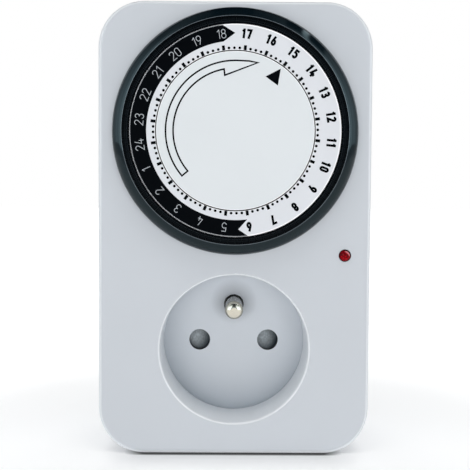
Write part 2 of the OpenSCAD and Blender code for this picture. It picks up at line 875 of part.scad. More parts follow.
module movement_plate() {
    color([0.93, 0.92, 0.88])
        difference() {
            union() {
                slab(plate_front, plate_back)
                    intersection() {
                        inner_outline(plate_gap);
                        rect(-body_w, body_w, plate_bottom, body_h);
                    }
                turned(0, dial_z) {
                    band(0, post_r, post_shoulder, plate_back - 0.2);
                    band(0, screw_neck_r, label_top + 1 + seat_gap, plate_back - 0.2);
                }
                turned(motor_x, motor_z)
                    band(motor_r + slip, motor_r + slip + collar_t, plate_back - 0.1, plate_back + collar_h);
                switch_cradle();
                slide_backing();
            }
            for (x = [-screw_x, screw_x])
                rod(x, body_h - screw_edge, boss_screw_r + slip, plate_front - cut, plate_back + cut);
            for (x = [-foot_x, foot_x])
                rod(x, foot_z, tap_r + slip, plate_front - cut, plate_back + cut);
            rod(arbor_x, arbor_z, arbor_r + seat_gap, plate_front - cut, arbor_back);
            rod(drive_x, drive_z, gear_module * drive_teeth / 2 + 1, plate_front - cut, plate_back + cut);
            rod(lamp_x, lamp_z, bulb_r + seat_gap, plate_front - cut, plate_back + cut);
            translate([0, 0, dial_z])
                rotate([0, pointer_angle, 0])
                    block(-nose_w / 2 - slip, nose_w / 2 + slip, plate_front - cut, plate_back + cut,
                        stem_r - nose_len / 2 - slip, stem_r + nose_len / 2 + slip);
        }
}

// Pads and side ribs that carry the microswitch
module switch_cradle() {
    rib = 1.2;
    for (side = [-1, 1])
        block(micro_x + side * (micro_w / 2 + seat_gap + rib / 2) - rib / 2,
            micro_x + side * (micro_w / 2 + seat_gap + rib / 2) + rib / 2,
            plate_back - 0.1, micro_front + 3, micro_top - micro_len + 1, micro_top - micro_len + 9);
    block(micro_x - micro_w / 2, micro_x + micro_w / 2, plate_back - 0.1, micro_front,
        micro_top - micro_len + 1, micro_top - micro_len + 5);
    block(micro_x - 1.5, micro_x + 1.5, plate_back - 0.1, micro_front, micro_top - 3, micro_top - 1);
}

// The upright wall behind the override slide, with its fixed contacts' seat
module slide_backing() {
    block(backing_x - backing_t, backing_x, plate_back - 0.1, split_d + 1,
        slide_z - 8, slide_z + 12);
}

module intermediate_gear() {
    color([0.9, 0.88, 0.8])
        difference() {
            union() {
                gear(arbor_x, arbor_z, pinion_teeth, arbor_angle + 180 + 180 / pinion_teeth,
                    gear_front + 0.2, wheel_front + 0.1);
                gear(arbor_x, arbor_z, wheel_teeth, drive_angle, wheel_front, wheel_back);
            }
            rod(arbor_x, arbor_z, arbor_r + run_gap, gear_front - cut, wheel_back + cut);
        }
}

// Plain steel pins: the intermediate gear's in the movement plate, the rotor's in the motor
module fixed_arbors() {
    color(steel_colour) {
        rod(arbor_x, arbor_z, arbor_r, gear_front + 0.3, arbor_back);
        rod(motor_x, motor_z, rotor_shaft_r, gearbox_back - gearbox_wall, motor_back);
    }
}

module drive_pinion() {
    color(brass_colour) {
        gear(drive_x, drive_z, drive_teeth, drive_angle + 180 + 180 / drive_teeth,
            wheel_front + 0.1, plate_front + 0.4);
        rod(drive_x, drive_z, drive_shaft_r, wheel_front + 0.2, plate_back + 2.4);
    }
}

// Closed gearbox: a cup with an output bearing, and its lid on the motor side
module gearbox_case() {
    color([0.85, 0.83, 0.78])
        difference() {
            rod(motor_x, motor_z, motor_r, plate_back, gearbox_back);
            rod(motor_x, motor_z, motor_r - gearbox_wall,
                plate_back + gearbox_wall, gearbox_back - gearbox_wall);
            rod(drive_x, drive_z, drive_shaft_r + run_gap, plate_back - cut, plate_back + gearbox_wall + cut);
            rod(motor_x, motor_z, rotor_shaft_r + seat_gap,
                gearbox_back - gearbox_wall - cut, gearbox_back + cut);
        }
}

module motor_can() {
    color(steel_colour)
        turned(motor_x, motor_z) {
            band(motor_r - can_t, motor_r, gearbox_back, motor_back);
            band(rotor_shaft_r + seat_gap, motor_r, motor_back - can_t, motor_back);
        }
}

module coil_bobbin() {
    color([0.95, 0.95, 0.92])
        turned(motor_x, motor_z) {
            band(bobbin_r, bobbin_r + bobbin_t, gearbox_back + 0.4, motor_back - can_t - 0.1);
            band(bobbin_r, motor_r - can_t - 0.5, gearbox_back + 0.4, gearbox_back + 0.4 + bobbin_t);
            band(bobbin_r, motor_r - can_t - 0.5, motor_back - can_t - 0.1 - bobbin_t, motor_back - can_t - 0.1);
        }
}

module motor_coil() {
    color(copper_colour)
        turned(motor_x, motor_z)
            band(bobbin_r + bobbin_t + seat_gap, motor_r - can_t - 1.2, gearbox_back + 0.5 + bobbin_t,
                motor_back - can_t - 0.2 - bobbin_t);
}

module rotor() {
    mid = (gearbox_back + motor_back - can_t) / 2;
    color([0.3, 0.3, 0.32])
        turned(motor_x, motor_z) {
            band(rotor_shaft_r + run_gap, rotor_r, mid - rotor_t / 2, mid + rotor_t / 2);
            band(rotor_shaft_r + run_gap, 2.2, gearbox_back + 0.8, mid);
        }
}

// ---- Switch ----

module microswitch_case() {
    color([0.15, 0.15, 0.16])
        difference() {
            block(micro_x - micro_w / 2, micro_x + micro_w / 2, micro_front, micro_back,
                micro_top - micro_len, micro_top);
            block(micro_x - micro_w / 2 + micro_wall, micro_x + micro_w / 2 - micro_wall,
                micro_front + micro_wall, micro_back - micro_wall,
                micro_top - micro_len + micro_wall, micro_top - micro_wall);
            rod(micro_x, micro_z, plunger_r + run_gap, micro_front - cut, micro_front + micro_wall + cut);
            for (z = terminal_heights)
                block(micro_x - terminal_w / 2 - seat_gap, micro_x + terminal_w / 2 + seat_gap,
                    micro_back - micro_wall - cut, micro_back + cut,
                    z - terminal_t / 2 - seat_gap, z + terminal_t / 2 + seat_gap);
        }
}

// Follower with a thin nose between two tabs' feet, a shank through the plate and a stop flange
module switch_follower() {
    tip = nose_tip_w / 2;
    color([0.9, 0.3, 0.2])
        translate([0, 0, dial_z])
            rotate([0, pointer_angle, 0]) {
                translate([0, front_y, stem_r - nose_len / 2])
                    linear_extrude(nose_len)
                        polygon([[-tip, nose_tip], [tip, nose_tip], [nose_w / 2, nose_tip + nose_w / 2 - tip],
                            [nose_w / 2, flange_front + 0.1], [-nose_w / 2, flange_front + 0.1],
                            [-nose_w / 2, nose_tip + nose_w / 2 - tip]]);
                block(-flange_w / 2, flange_w / 2, flange_front, flange_back, stem_r - nose_len / 2 - 0.8,
                    stem_r + nose_len / 2 + 0.8);
            }
}

module switch_plunger() {
    color([0.8, 0.1, 0.1])
        rod(micro_x, micro_z, plunger_r, flange_back + 0.02, blade_front - 0.05);
}

// Sprung contact blade inside the case, fixed at its lower end
module contact_blade() {
    color(copper_colour)
        block(micro_x - blade_w / 2, micro_x + blade_w / 2, blade_front, blade_front + blade_t,
            blade_foot, micro_top - micro_wall - 1);
}

module switch_terminals() {
    color(brass_colour)
        for (i = [0:1])
            block(micro_x - terminal_w / 2, micro_x + terminal_w / 2,
                i == 0 ? blade_front - 0.5 : blade_front + blade_t + contact_gap, terminal_end,
                terminal_heights[i] - terminal_t / 2, terminal_heights[i] + terminal_t / 2);
}

// ---- Socket ----

// Shutter: a ramp behind each contact hole, joined by a bar at the back
module socket_shutter() {
    z0 = socket_z - shutter_h / 2;
    color([0.5, 0.53, 0.55]) {
        for (x = [-pin_x, pin_x])
            translate([x - ramp_w / 2, front_y, z0])
                rotate([90, 0, 90])
                    linear_extrude(ramp_w)
                        polygon([[shutter_front, 0], [shutter_front, 0.8], [shutter_back - 0.6, shutter_h],
                            [shutter_back, shutter_h], [shutter_back, 0]]);
        block(-shutter_w / 2, shutter_w / 2, shutter_back - shutter_back_t, shutter_back, z0, z0 + shutter_h - 2);
    }
}

// Coil spring between the rails' stop and the shutter
module shutter_spring() {
    low = rail_bottom + seat_gap + spring_wire_r;
    high = socket_z - shutter_h / 2 - seat_gap - spring_wire_r;
    steps = 12 * spring_turns;
    color(steel_colour)
        tube([for (i = [0:steps])
            [spring_r * cos(30 * i), front_y + spring_d + spring_r * sin(30 * i), low + (high - low) * i / steps]],
            spring_wire_r, 6, [0, 0, 1]);
}

// Slotted contact sleeve that grips a plug pin, closed at its back
module sleeve(x) {
    difference() {
        union() {
            rod(x, socket_z, sleeve_in_r + sleeve_t, sleeve_front, sleeve_back);
            rod(x, socket_z, sleeve_in_r + sleeve_t, sleeve_back, base_back);
        }
        rod(x, socket_z, sleeve_in_r, sleeve_front - cut, sleeve_back);
        block(x - 10, x + 10, sleeve_front - cut, sleeve_back - 2, socket_z - 0.4, socket_z + 0.4);
    }
}

// The live and neutral contacts, two alike
module socket_contacts() {
    color(brass_colour)
        for (x = [-pin_x, pin_x])
            sleeve(x);
}

// Three brass strips: live feed to the switch, switched live to the socket, and the neutral link
module supply_strips() {
    half = strip_w / 2;
    color(brass_colour) {
        feed_strip(half);
        switched_strip(half);
        block(-pin_x - half, -pin_x + half, feed_front, feed_back, socket_z - half, socket_z + 3 * half);
        rod(-pin_x, socket_z, shank_r, base_back + 0.02, feed_front + 0.1);
    }
}

// From the live plug pin up to the switch's lower terminal, with a branch to the slide's upper contact
module feed_strip(half) {
    z = terminal_heights[0];
    block(pin_x - half, feed_x + half, feed_front, feed_back, socket_z - half, socket_z + half);
    block(feed_x - half, feed_x + half, feed_front, feed_back, socket_z - half, z + half);
    block(feed_x + half - contact_t, feed_x + half, strip_front, feed_back, z - half, z + half);
    block(micro_x - terminal_w / 2, feed_x + half, strip_front, strip_front + contact_t, z - half, z + half);
    block(feed_x, stud_x, feed_front, feed_back, upper_stud_z, upper_stud_z + stud_h);
    block(backing_x, stud_x, stud_front, feed_back, upper_stud_z, upper_stud_z + stud_h);
}

// From the live contact's base up to the switch's upper terminal, with a branch to the slide's lower contact
module switched_strip(half) {
    z = terminal_heights[0] + 2 * strip_w;
    block(pin_x + sleeve_in_r + sleeve_t + 0.02, switched_x + half, sleeve_back, base_back,
        socket_z - half, socket_z + half);
    block(switched_x - half, switched_x + half, sleeve_back, base_back, socket_z - half, z + half);
    block(switched_x + half - contact_t, switched_x + half, strip_front, base_back, z - half, z + half);
    block(micro_x - terminal_w / 2, switched_x + half, strip_front, strip_front + contact_t, z - half, z + half);
    block(micro_x - terminal_w / 2, micro_x + terminal_w / 2, strip_front, strip_front + contact_t,
        z - half, terminal_heights[1] + half);
    block(switched_x, stud_x, sleeve_back, base_back, lower_stud_z, lower_stud_z + 2 * stud_h);
    block(backing_x, stud_x, stud_front, base_back, lower_stud_z, lower_stud_z + 2 * stud_h);
}

// Insulating plate between the contacts and the live feed
module insulating_plate() {
    color([0.9, 0.9, 0.85])
        slab(board_front + 0.02, board_back - 0.02)
            difference() {
                rect(-pin_x - board_edge, pin_x + board_edge, socket_z - board_edge, earth_z + board_edge);
                translate([-pin_x, socket_z])
                    circle(shank_r + slip);
                translate([0, earth_z])
                    circle(earth_root_r + seat_gap);
            }
}

// The two plug pins: round tip, root in the plug face, collar behind it and a thinner shank
module plug_pins() {
    color(nickel_colour)
        for (x = [-pin_x, pin_x])
            turned(x, socket_z) {
                band(0, plug_pin_r, boss_face - 0.1, pin_tip - pin_round);
                round_tip(plug_pin_r, pin_round, pin_tip - pin_round, 1);
                band(0, pin_root_r, boss_in - pin_seat_t, boss_face);
                band(0, collar_r, boss_in - pin_seat_t - pin_collar_t, boss_in - pin_seat_t);
                band(0, shank_r, feed_back, boss_in - pin_seat_t - pin_collar_t);
            }
}

// Half section of a pin's rounded end: from depth d, towards the back (way = 1) or the front (way = -1)
module round_tip(r, round, d, way) {
    translate([0, d])
        mirror([0, way > 0 ? 0 : 1]) {
            translate([0, -0.1])
                square([r - round, round + 0.1]);
            intersection() {
                translate([r - round, 0])
                    circle(round);
                square([r, round]);
            }
        }
}

// Earth pin of the socket, with a round end, and its root back to the bracket
module earth_pin() {
    color(nickel_colour)
        turned(0, earth_z) {
            band(0, earth_pin_r, earth_tip + earth_round, recess_depth);
            band(0, earth_root_r, recess_depth - 0.1, bracket_front);
            round_tip(earth_pin_r, earth_round, earth_tip + earth_round, -1);
        }
}

// Cross strip that joins the earth pin, the plug's earth receptacle and the side clips
module earth_bracket() {
    color(brass_colour) {
        block(-clip_w / 2, clip_w / 2, bracket_front, bracket_back, socket_z - boss_in_r + 1, socket_z + boss_in_r - 1);
        turned(0, earth_z)
            band(receptacle_r, receptacle_out, bracket_back - 0.1, receptacle_back);
    }
}

module earth_side_clips() {
    color(nickel_colour)
        for (side = [0, 1])
            translate([0, 0, socket_z])
                mirror([0, 0, side]) {
                    block(-clip_w / 2, clip_w / 2, bracket_front, clip_end, clip_outer - sheet_t, clip_outer);
                    block(-clip_w / 2, clip_w / 2, bracket_front, bracket_back, boss_in_r - 1, clip_outer);
                }
}

// ---- Details ----

// Thumb piece outside, stem through the side wall and plate inside, with ribs for the finger
module override_slide() {
    outer = body_w / 2;
    color([0.35, 0.37, 0.4])
        difference() {
            union() {
                block(outer + slip, outer + slide_proud, slide_d - slide_w / 2, slide_d + slide_w / 2,
                    slide_z - slide_h / 2, slide_z + slide_h / 2);
                block(slide_plate_x - 0.2, outer + slip + 0.1, slide_d - slide_stem_w / 2,
                    slide_d + slide_stem_w / 2, slide_z - slide_stem_h / 2, slide_z + slide_stem_h / 2);
                block(bridge_x, slide_plate_x, slide_d - slide_w / 2, slide_d + slide_w / 2,
                    slide_z - slide_plate_h / 2, slide_z + slide_plate_h / 2);
            }
            for (i = [-2:2])
                block(outer + slide_proud - 0.4, outer + slide_proud + cut, slide_d - slide_w / 2 - cut,
                    slide_d + slide_w / 2 + cut, slide_z + i * 1.4 - 0.3, slide_z + i * 1.4 + 0.3);
        }
}

// Copper bridge on the inside of the override slide's plate
module slide_bridge() {
    color(copper_colour)
        block(bridge_x - bridge_t, bridge_x, slide_d - 2, slide_d + 2,
            slide_z - slide_plate_h / 2 + 0.5, slide_z + slide_plate_h / 2 - 0.5);
}

function bezier(p, t) =
    pow(1 - t, 3) * p[0] + 3 * pow(1 - t, 2) * t * p[1] + 3 * (1 - t) * t * t * p[2] + pow(t, 3) * p[3];

// An insulated lead on one smooth curve between two pieces; its points are [x, depth, z]
module lead(p, ref) {
    translate([0, front_y, 0])
        tube([for (i = [0:12]) bezier(p, i / 12)], lead_r, 8, ref);
}

// Two leads from the supply to the motor and two to the lamp, the second through a resistor
module leads() {
    can_end = motor_back + lead_r + seat_gap;
    feed_end = feed_front - lead_r - seat_gap;
    base_end = base_back - lead_r - seat_gap;
    bulb_end = bulb_back + seat_gap;
    across = [1, 0, 0];
    upward = [0, 0, 1];
    color([0.2, 0.3, 0.6]) {
        lead([[feed_x - 1, feed_end, motor_z - 16], [feed_x - 7, feed_end, motor_z - 16],
            [motor_x + 16, can_end + 1.5, motor_z - 15], [motor_x + 10, can_end, motor_z - 14]], upward);
        lead([[-pin_x, base_end, socket_z + lead_seat - 0.4], [-pin_x - 3.5, base_end, socket_z + 17],
            [motor_x - 6, base_end - 1, motor_z - 24], [motor_x - 4, can_end, motor_z - 10]], across);
        lead([[switched_x, sleeve_back - seat_gap, lamp_z + 10], [switched_x, sleeve_back - 7, lamp_z + 10],
            [lamp_x - 0.75, bulb_end + 8, lamp_z + 0.7], [lamp_x - 0.75, bulb_end, lamp_z + 0.7]], across);
        lead([[lamp_x + 0.45, bulb_end, lamp_z - 0.9], [lamp_x + 0.45, bulb_end + 8, lamp_z - 0.9],
            [resistor_x + 13, resistor_d, resistor_z], [resistor_x + seat_gap, resistor_d, resistor_z]], upward);
        lead([[resistor_x - resistor_len - seat_gap, resistor_d, resistor_z],
            [resistor_x - resistor_len - 7, resistor_d, resistor_z], [-pin_x - 12.5, base_end - 1.3, earth_z + 2],
            [-pin_x - lead_seat, base_end, socket_z + 1.3]], [1, 0, 1]);
        translate([resistor_x - resistor_len, front_y + resistor_d, resistor_z])
            rotate([0, 90, 0])
                cylinder(r = resistor_r, h = resistor_len);
    }
}

// Round red lens with a flange behind the front wall
module lamp_lens() {
    color([0.6, 0.02, 0.05])
        turned(lamp_x, lamp_z) {
            intersection() {
                translate([0, dome_d])
                    circle(dome_r);
                band(0, lens_r, -lens_proud, 0);
            }
            band(0, lens_r, -0.01, wall);
            band(0, lens_flange_r, wall, wall + lens_flange_t);
        }
}

module lamp_bulb() {
    color([0.95, 0.6, 0.4])
        rod(lamp_x, lamp_z, bulb_r, wall + lens_flange_t, bulb_back);
}

front_shell();
socket_floor();
rear_shell();
screws();
dial_drum();
dial_rim();
dial_label();
centre_disc();
movement_plate();
intermediate_gear();
fixed_arbors();
drive_pinion();
gearbox_case();
motor_can();
coil_bobbin();
motor_coil();
rotor();
microswitch_case();
switch_follower();
switch_plunger();
contact_blade();
switch_terminals();
socket_shutter();
shutter_spring();
socket_contacts();
supply_strips();
insulating_plate();
plug_pins();
earth_pin();
earth_bracket();
earth_side_clips();
override_slide();
slide_bridge();
lamp_lens();
lamp_bulb();
leads();
for (hour = [1:24])
    tabs_hour(hour);
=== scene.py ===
"""Plug-in timer switch: materials, print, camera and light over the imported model.

Blender's units are metres. Numbers multiplied by MM are millimetres, and so is the print's own
drawing plane. The front faces -y, and +x is on the right in the photograph.
"""
import json
import math

import bmesh
import bpy
from mathutils import Matrix, Vector


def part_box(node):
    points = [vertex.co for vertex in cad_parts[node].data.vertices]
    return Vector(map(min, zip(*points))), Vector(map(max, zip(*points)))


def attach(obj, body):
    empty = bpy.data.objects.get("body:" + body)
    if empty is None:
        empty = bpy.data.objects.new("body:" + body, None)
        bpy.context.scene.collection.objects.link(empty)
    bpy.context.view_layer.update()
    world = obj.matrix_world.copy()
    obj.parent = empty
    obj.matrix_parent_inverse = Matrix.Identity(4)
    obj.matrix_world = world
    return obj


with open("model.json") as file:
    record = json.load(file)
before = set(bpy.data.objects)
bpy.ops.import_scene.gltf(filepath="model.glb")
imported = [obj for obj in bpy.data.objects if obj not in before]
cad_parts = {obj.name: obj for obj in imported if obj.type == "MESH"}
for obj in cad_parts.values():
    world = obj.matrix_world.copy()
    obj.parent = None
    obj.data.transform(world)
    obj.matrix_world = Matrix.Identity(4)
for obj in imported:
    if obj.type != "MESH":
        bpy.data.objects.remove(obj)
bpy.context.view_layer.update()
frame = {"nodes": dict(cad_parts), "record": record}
NODES = frame["nodes"]
MM = 0.001

DIAL_LO, DIAL_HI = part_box("dial_rim")
DIAL_X = (DIAL_LO.x + DIAL_HI.x) / 2
DIAL_Z = (DIAL_LO.z + DIAL_HI.z) / 2
SOCKET_Z = 27.7 * MM
RECESS_R = 19.5 * MM
FLOOR_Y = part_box("socket_floor")[0].y
HOLE_X = 9.5 * MM
PIN_Z = 37.7 * MM


# ---- Camera, at the photograph's place ----

CAMERA_AT = Vector((-1.445, -225.2, 66.72)) * MM
PITCH, YAW, ROLL = (math.radians(a) for a in (2.514, 0.429, 0.378))
FOCAL_PX = 790.1
IMAGE_PX = 470
SENSOR_MM = 36.0
CLIP_START, CLIP_END = 0.01, 50


def make_camera():
    data = bpy.data.cameras.new("camera")
    data.sensor_width = SENSOR_MM
    data.lens = FOCAL_PX * SENSOR_MM / IMAGE_PX
    data.clip_start = CLIP_START
    data.clip_end = CLIP_END
    ahead = Vector((math.sin(YAW) * math.cos(PITCH), math.cos(YAW) * math.cos(PITCH),
                    -math.sin(PITCH)))
    right = Vector((math.cos(YAW), -math.sin(YAW), 0))
    up = right.cross(ahead)
    rolled_right = right * math.cos(ROLL) + up * math.sin(ROLL)
    rolled_up = up * math.cos(ROLL) - right * math.sin(ROLL)
    axes = Matrix((rolled_right, rolled_up, -ahead)).transposed()
    camera = bpy.data.objects.new("camera", data)
    camera.matrix_world = Matrix.Translation(CAMERA_AT) @ axes.to_4x4()
    bpy.context.scene.collection.objects.link(camera)
    bpy.context.scene.camera = camera


# ---- Shader building ----

NOISE_LOW, NOISE_HIGH = 0.3, 0.7
LINE_CORE = 0.4


def srgb(red, green, blue):
    """A colour given as 0 to 255 screen values, as linear RGBA."""
    def linear(value):
        value /= 255
        return value / 12.92 if value <= 0.04045 else ((value + 0.055) / 1.055) ** 2.4
    return (linear(red), linear(green), linear(blue), 1.0)


class Nodes:
    """Adds shader nodes to one tree, links them and gives back what they put out."""

    def __init__(self, tree):
        self.tree = tree

    def add(self, kind, inputs=None, **settings):
        """A node with these settings, whose inputs are other nodes' outputs or plain values."""
        node = self.tree.nodes.new(kind)
        for name, value in settings.items():
            setattr(node, name, value)
        for key, value in (inputs or {}).items():
            if isinstance(value, bpy.types.NodeSocket):
                self.tree.links.new(value, node.inputs[key])
            else:
                node.inputs[key].default_value = value
        return node

    def place(self):
        """The shaded point, in the object's own coordinates."""
        return self.add("ShaderNodeTexCoord").outputs["Object"]

    def xyz(self, vector):
        return self.add("ShaderNodeSeparateXYZ", {"Vector": vector}).outputs

    def math(self, operation, a, b=0.0):
        return self.add("ShaderNodeMath", {0: a, 1: b}, operation=operation).outputs[0]

    def plus(self, a, b):
        return self.math("ADD", a, b)

    def minus(self, a, b):
        return self.math("SUBTRACT", a, b)

    def times(self, a, b):
        return self.math("MULTIPLY", a, b)

    def length(self, a, b):
        """The length of the vector (a, b)."""
        return self.math("SQRT", self.plus(self.times(a, a), self.times(b, b)))

    def from_axis(self, x, z, centre_x, centre_z):
        """Distance of (x, z) from an axis that runs from front to back."""
        return self.length(self.minus(x, centre_x), self.minus(z, centre_z))

    def vector_math(self, operation, a, b=(0, 0, 0)):
        node = self.add("ShaderNodeVectorMath", {0: a, 1: b}, operation=operation)
        return node.outputs["Value" if operation == "LENGTH" else "Vector"]

    def remap(self, value, low, high, start, end):
        """low up to start, high from end on, and in proportion between them."""
        return self.add("ShaderNodeMapRange", {
            "Value": value, "From Min": start, "From Max": end, "To Min": low, "To Max": high,
        }).outputs["Result"]

    def fade_in(self, value, start, end):
        return self.remap(value, 0.0, 1.0, start, end)

    def fade_out(self, value, start, end):
        return self.remap(value, 1.0, 0.0, start, end)

    def line_at(self, value, centre, half):
        """1 where value is at centre, falling to 0 at half from it."""
        away = self.math("ABSOLUTE", self.minus(value, centre))
        return self.fade_out(away, half * LINE_CORE, half)

    def noise(self, place, scale, detail=2.0):
        """Noise with about scale features a metre."""
        return self.add("ShaderNodeTexNoise", {
            "Vector": place, "Scale": scale, "Detail": detail}).outputs["Fac"]

    def spread(self, noise, low, high):
        """low to high over the middle range, where most of a noise lies."""
        return self.remap(noise, low, high, NOISE_LOW, NOISE_HIGH)

    def mix(self, factor, a, b):
        """Colour a where factor is 0 and colour b where it is 1."""
        node = self.add("ShaderNodeMix", {0: factor, 6: a, 7: b}, data_type="RGBA")
        return node.outputs[2]

    def relief(self, height, strength=0.05, depth=0.02):
        """The normal over a fine texture whose depth is in millimetres."""
        return self.add("ShaderNodeBump", {
            "Strength": strength, "Distance": depth * MM, "Height": height}).outputs["Normal"]

    def mix_shaders(self, factor, a, b):
        return self.add("ShaderNodeMixShader", {0: factor, 1: a.outputs[0], 2: b.outputs[0]})

    def show(self, shader, kind="ShaderNodeOutputMaterial"):
        self.add(kind, {"Surface": shader.outputs[0]})

    def principled(self, inputs):
        self.show(self.add("ShaderNodeBsdfPrincipled", inputs))


def empty_material(name):
    material = bpy.data.materials.new(name)
    material.use_nodes = True
    material.node_tree.nodes.clear()
    return material, Nodes(material.node_tree)


# ---- Where a tint lies: functions that give its strength, 0 to 1, at a place ----

# From here on a pair of numbers is a fade's start and end, and four are remap's low, high, start
# and end.

# Where a normal's y, -1 on the front and 0 on a side, leaves the one and nears the other, and the
# strength of the painted highlight on the rounded edges between
OFF_FRONT, OFF_SIDE = (-0.97, -0.85), (-0.25, -0.05)
EDGE_HIGHLIGHT_STRENGTH = 0.85
# The recess's painted light fades over its lip and behind its floor's face, and is weaker at its
# top
RECESS_LIP = (RECESS_R + 0.2 * MM, RECESS_R + 0.5 * MM)
RECESS_END = (FLOOR_Y, FLOOR_Y + 1.0 * MM)
RECESS_TOP = 0.5
# The corner's painted shade is strongest low down, tilted to the left
CORNER_STRENGTH = 0.8
CORNER_TILT = 0.25
CORNER_LOW_POWER = 1.2
# A contact hole's painted shade starts behind the floor's face; the earth pin's hole is painted
# dark at once, and a painted shadow lies round the pin
BORE_START = (FLOOR_Y + 0.05 * MM, FLOOR_Y + 0.3 * MM)
HOLE_WALL_R = 3.0 * MM
PIN_HOLE_R = 2.74 * MM
PIN_SHADE = (0.32, 0.0, 2.4 * MM, 6.5 * MM)
PIN_SHADE_Z = PIN_Z + 0.8 * MM


def worn_edges(n, _):
    """A painted highlight on the rounded edges, where a front face turns into a side."""
    facing = n.xyz(n.add("ShaderNodeNewGeometry").outputs["Normal"])[1]
    rounded = n.times(n.fade_in(facing, *OFF_FRONT), n.fade_out(facing, *OFF_SIDE))
    return n.times(rounded, EDGE_HIGHLIGHT_STRENGTH)


def in_recess(n, place):
    """Painted light on the socket's wall and lip: full low down, half at the top, 0 on the rest of
    the front.
    """
    x, y, z = n.xyz(place)
    inside = n.fade_out(n.from_axis(x, z, 0.0, SOCKET_Z), *RECESS_LIP)
    inside = n.times(inside, n.fade_out(y, *RECESS_END))
    low = n.remap(n.minus(z, SOCKET_Z), 1.0, RECESS_TOP, -RECESS_R, RECESS_R)
    return n.times(inside, low)


def near_corner(reach, power):
    """Painted shade in the corner between the socket's floor and wall, up to reach in millimetres
    from it.
    """
    def strength(n, place):
        x, y, z = n.xyz(place)
        rise = n.minus(z, SOCKET_Z)
        out = n.minus(n.length(x, rise), RECESS_R)
        away = n.length(out, n.minus(y, FLOOR_Y))
        near = n.math("POWER", n.fade_out(away, 0.0, reach * MM), power)
        tilted_rise = n.plus(rise, n.times(x, CORNER_TILT))
        low_left = n.fade_out(tilted_rise, -RECESS_R, RECESS_R)
        low_left = n.math("POWER", low_left, CORNER_LOW_POWER)
        return n.times(n.times(low_left, near), CORNER_STRENGTH)
    return strength


def in_bores(n, place):
    """Painted shade on the contact holes' walls and in the earth pin's hole, and a soft painted
    shadow round the pin.
    """
    x, y, z = n.xyz(place)
    behind = n.fade_in(y, *BORE_START)
    strength = 0.0
    for hole_x in (-HOLE_X, HOLE_X):
        in_hole = n.math("LESS_THAN", n.from_axis(x, z, hole_x, SOCKET_Z), HOLE_WALL_R)
        strength = n.math("MAXIMUM", strength, n.times(in_hole, behind))
    at_pin = n.math("LESS_THAN", n.from_axis(x, z, 0.0, PIN_Z), PIN_HOLE_R)
    strength = n.math("MAXIMUM", strength, at_pin)
    shade = n.remap(n.from_axis(x, z, 0.0, PIN_SHADE_Z), *PIN_SHADE)
    return n.math("MAXIMUM", strength, shade)


def dial_ring(radius, half):
    """A line round the dial's axis; its radius and half its width are in millimetres."""
    def strength(n, place):
        x, _, z = n.xyz(place)
        from_dial = n.math("DIVIDE", n.from_axis(x, z, DIAL_X, DIAL_Z), MM)
        return n.line_at(from_dial, radius, half)
    return strength


# ---- Materials ----

def surface(name, colour, rough, metal=0.0, tone=0.04, rough_spread=0.05, grain=900.0, bump=0.05,
            patch=40.0, specular=0.5, edge=(1, 1, 1), tints=()):
    """A solid finish: slightly uneven colour and gloss, and a fine moulded or drawn texture.

    grain and patch are features a metre, tone and rough_spread are how far colour and gloss vary,
    and tints are (strength function, colour) pairs, laid over the colour in turn.
    """
    material, n = empty_material(name)
    place = n.place()
    patches = n.noise(place, patch, 3.0)
    fine = n.noise(place, grain)
    dark = tuple(c * (1 - tone) for c in colour[:3]) + (1.0,)
    light = tuple(min(1.0, c * (1 + tone)) for c in colour[:3]) + (1.0,)
    base = n.mix(n.spread(patches, 0.0, 1.0), dark, light)
    for strength, tint in tints:
        base = n.mix(strength(n, place), base, tint)
    roughness = n.spread(fine, max(0.02, rough - rough_spread), min(1.0, rough + rough_spread))
    n.principled({
        "Base Color": base, "Roughness": roughness, "Metallic": metal,
        "Normal": n.relief(fine, bump), "Specular IOR Level": specular,
        "Specular Tint": (*edge, 1)})
    return material


PALE = srgb(250, 251, 253)
NICKEL = srgb(228, 222, 206)
NICKEL_EDGE = (0.35, 0.35, 0.35)
CORNER_SHADE = srgb(150, 159, 168)
# Painted light on the disc's and the label's edges beside the gap between them, which makes the
# gap's shaded line fainter
DISC_GAP_LIGHT = (dial_ring(20.25, 0.4), PALE)
PRINTED = dict(rough=0.42, tone=0.01, bump=0.02, specular=0.2)


def housing_finish(colour, *tints):
    """The housing's finish in one colour, with a painted highlight on its rounded edges and the
    tints given.
    """
    return dict(colour=colour, rough=0.4, tone=0.012, grain=1500, bump=0.1,
                tints=((worn_edges, srgb(231, 235, 239)), *tints))


